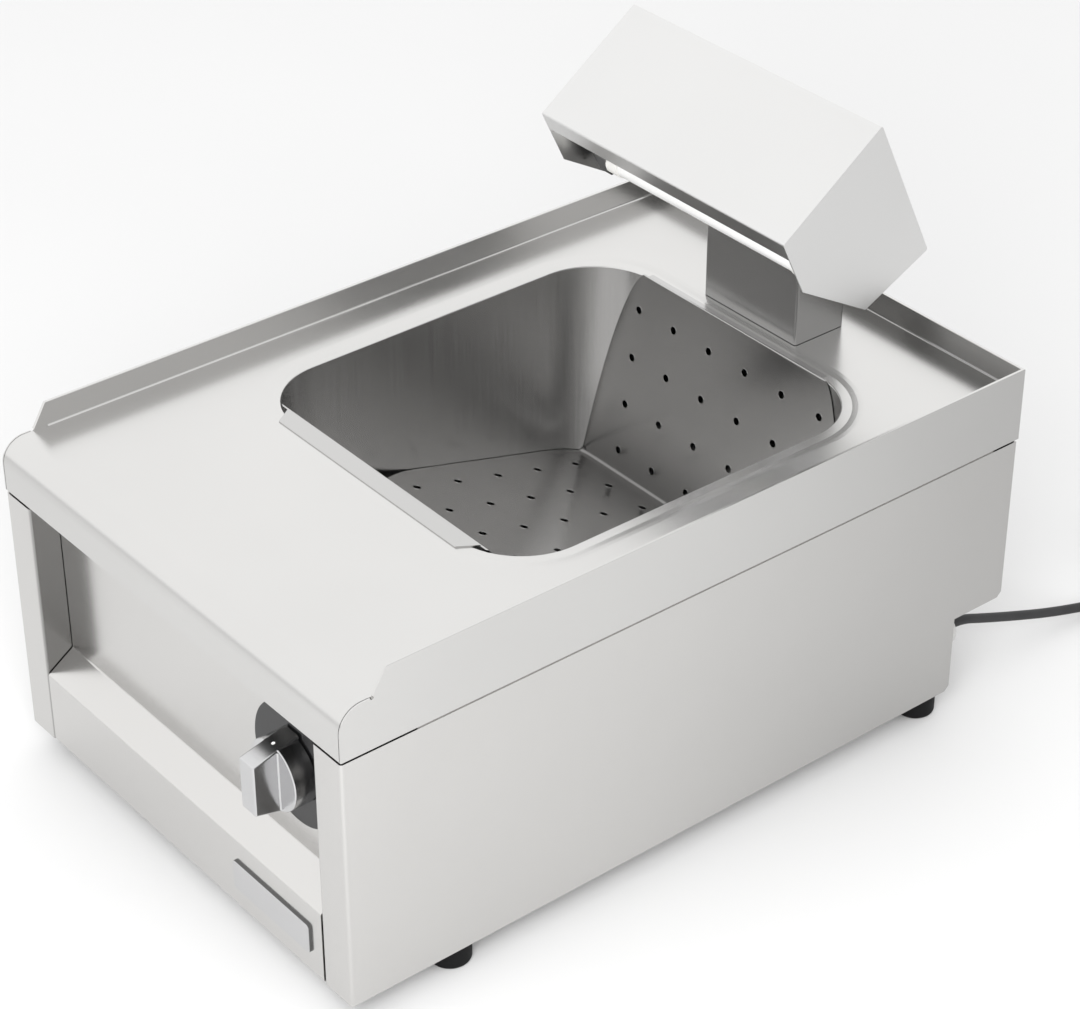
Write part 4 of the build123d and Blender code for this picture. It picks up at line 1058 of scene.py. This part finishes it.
class FRIES_OT_small_parts(bpy.types.Operator):
    """Finish the feet, the gland, the wiring and the fasteners"""

    bl_idname = "fries.small_parts"
    bl_label = "Feet, Gland and Wiring"

    def execute(self, context):
        paint_nodes(
            stock(soft_rubber, "foot_rubber"),
            "foot_front_left",
            "foot_front_right",
            "foot_rear_left",
            "foot_rear_right",
        )
        gland = stock(moulded_plastic, "gland_plastic")
        paint_nodes(gland, "gland_body", "gland_cap", "gland_nut")
        cap_radius = (GLAND_HIGH.x - GLAND_LOW.x) / 2
        rib_length = (GLAND_HIGH.y - GLAND_LOW.y) * RIB_SHARE
        middle = Vector((GLAND_MIDDLE.x, GLAND_LOW.y + rib_length / 2 + RIB_PROUD, GLAND_MIDDLE.z))
        ribs = mesh_from_tree(
            ring_of_bars_tree(gland),
            {
                "Count": GLAND_RIBS,
                "Step": math.tau / GLAND_RIBS,
                "Radius": cap_radius,
                "Size": (2 * RIB_PROUD, RIB_WIDTH, rib_length),
            },
            facing(middle, (1, 0, 0), (0, 1, 0)),
        )
        new_piece("gland_ribs", ribs, "cabinet", gland)
        zinc = stock(plated_metal, "zinc_plate")
        fasteners = [name for name in NODES if name.endswith(("_screws", "_nuts"))]
        paint_nodes(zinc, "thermostat_shaft", "heater_cover", "pillar_bracket", *fasteners)
        paint_nodes(stock(plated_metal, "drawn_copper"), "thermostat_bulb")
        paint_nodes(stock(moulded_plastic, "block_plastic"), "thermostat_body", "terminal_block")
        paint_nodes(stock(soft_rubber, "heater_silicone"), "heater_pad")
        paint_nodes(
            stock(soft_rubber, "lead_sleeve"),
            "thermostat_lead",
            "heater_lead",
            "lamp_lead",
        )
        return {"FINISHED"}


# The studio's darker side: where it lies, and how squarely a ray meets its rim and its full shade
DARK_SIDE = (0.77, 0.64, 0.0)
DARK_RIM = 0.2
DARK_FULL = 0.75

# The key light and the floor, in metres
KEY_PLACE = (1.0, -1.0, 1.0)
KEY_AIM = (0.0, 0.0, 0.2)
KEY_SIZE = 0.8
FLOOR_HALF = 6.0


def studio_world(settings):
    """A white studio all round that is open and darker on one side."""
    world = bpy.data.worlds.new("studio")
    world.use_nodes = True
    tree = world.node_tree
    sky = tree.nodes["Background"]
    sky.inputs["Color"].default_value = (1, 1, 1, 1)
    way = tree.nodes.new("ShaderNodeTexCoord")
    side = tree.nodes.new("ShaderNodeVectorMath")
    side.operation = "DOT_PRODUCT"
    side.inputs[1].default_value = DARK_SIDE
    shade = tree.nodes.new("ShaderNodeMapRange")
    shade.interpolation_type = "SMOOTHSTEP"
    shade.inputs["From Min"].default_value = DARK_RIM
    shade.inputs["From Max"].default_value = DARK_FULL
    shade.inputs["To Min"].default_value = settings.sky
    shade.inputs["To Max"].default_value = settings.dark_sky
    tree.links.new(way.outputs["Generated"], side.inputs[0])
    tree.links.new(side.outputs["Value"], shade.inputs["Value"])
    tree.links.new(shade.outputs["Result"], sky.inputs["Strength"])
    return world


class FRIES_OT_stage(bpy.types.Operator):
    """Set the pale floor and the soft studio light"""

    bl_idname = "fries.stage"
    bl_label = "Stage"

    def execute(self, context):
        settings = context.scene.fries_station.stage
        mesh = bpy.data.meshes.new("floor")
        signs = ((-1, -1), (1, -1), (1, 1), (-1, 1))
        corners = [(x * FLOOR_HALF, y * FLOOR_HALF, 0) for x, y in signs]
        mesh.from_pydata(corners, [], [(0, 1, 2, 3)])
        floor = bpy.data.objects.new("floor", mesh)
        context.scene.collection.objects.link(floor)
        finish = Finish("floor_paper", settings.floor_colour, metallic=0.0, roughness=0.9)
        finish.vary_colour(finish.noise(scale=3), darker=0.99, lighter=1.01)
        mesh.materials.append(finish.material)
        context.scene.world = studio_world(settings)
        data = bpy.data.lights.new("key_softbox", "AREA")
        data.shape = "SQUARE"
        data.size = KEY_SIZE
        data.energy = settings.key_power
        key = bpy.data.objects.new("key_softbox", data)
        aim = Vector(KEY_AIM) - Vector(KEY_PLACE)
        turn = aim.to_track_quat("-Z", "Y").to_matrix().to_4x4()
        key.matrix_world = Matrix.Translation(KEY_PLACE) @ turn
        key.visible_glossy = False
        context.scene.collection.objects.link(key)
        context.scene.view_settings.view_transform = "Standard"
        return {"FINISHED"}


OPERATORS = (
    FRIES_OT_camera,
    FRIES_OT_power_cord,
    FRIES_OT_cabinet,
    FRIES_OT_well,
    FRIES_OT_hood,
    FRIES_OT_control,
    FRIES_OT_small_parts,
    FRIES_OT_stage,
)


class FRIES_PT_sidebar(bpy.types.Panel):
    """Buttons for each group of pieces"""

    bl_idname = "FRIES_PT_sidebar"
    bl_label = "Fries Station"
    bl_space_type = "VIEW_3D"
    bl_region_type = "UI"
    bl_category = "Fries Station"

    def draw(self, context):
        for operator in OPERATORS:
            self.layout.operator(operator.bl_idname)


CLASSES = (
    CameraSettings,
    CordSettings,
    SteelSettings,
    DialSettings,
    StageSettings,
    FriesStationSettings,
    *OPERATORS,
    FRIES_PT_sidebar,
)


def register():
    for kind in CLASSES:
        bpy.utils.register_class(kind)
    bpy.types.Scene.fries_station = bpy.props.PointerProperty(type=FriesStationSettings)


def unregister():
    del bpy.types.Scene.fries_station
    for kind in reversed(CLASSES):
        bpy.utils.unregister_class(kind)


def main():
    register()
    bpy.ops.fries.camera()
    bpy.ops.fries.power_cord()
    bpy.ops.fries.cabinet()
    bpy.ops.fries.well()
    bpy.ops.fries.hood()
    bpy.ops.fries.control()
    bpy.ops.fries.small_parts()
    bpy.ops.fries.stage()


if __name__ == "__main__":
    main()
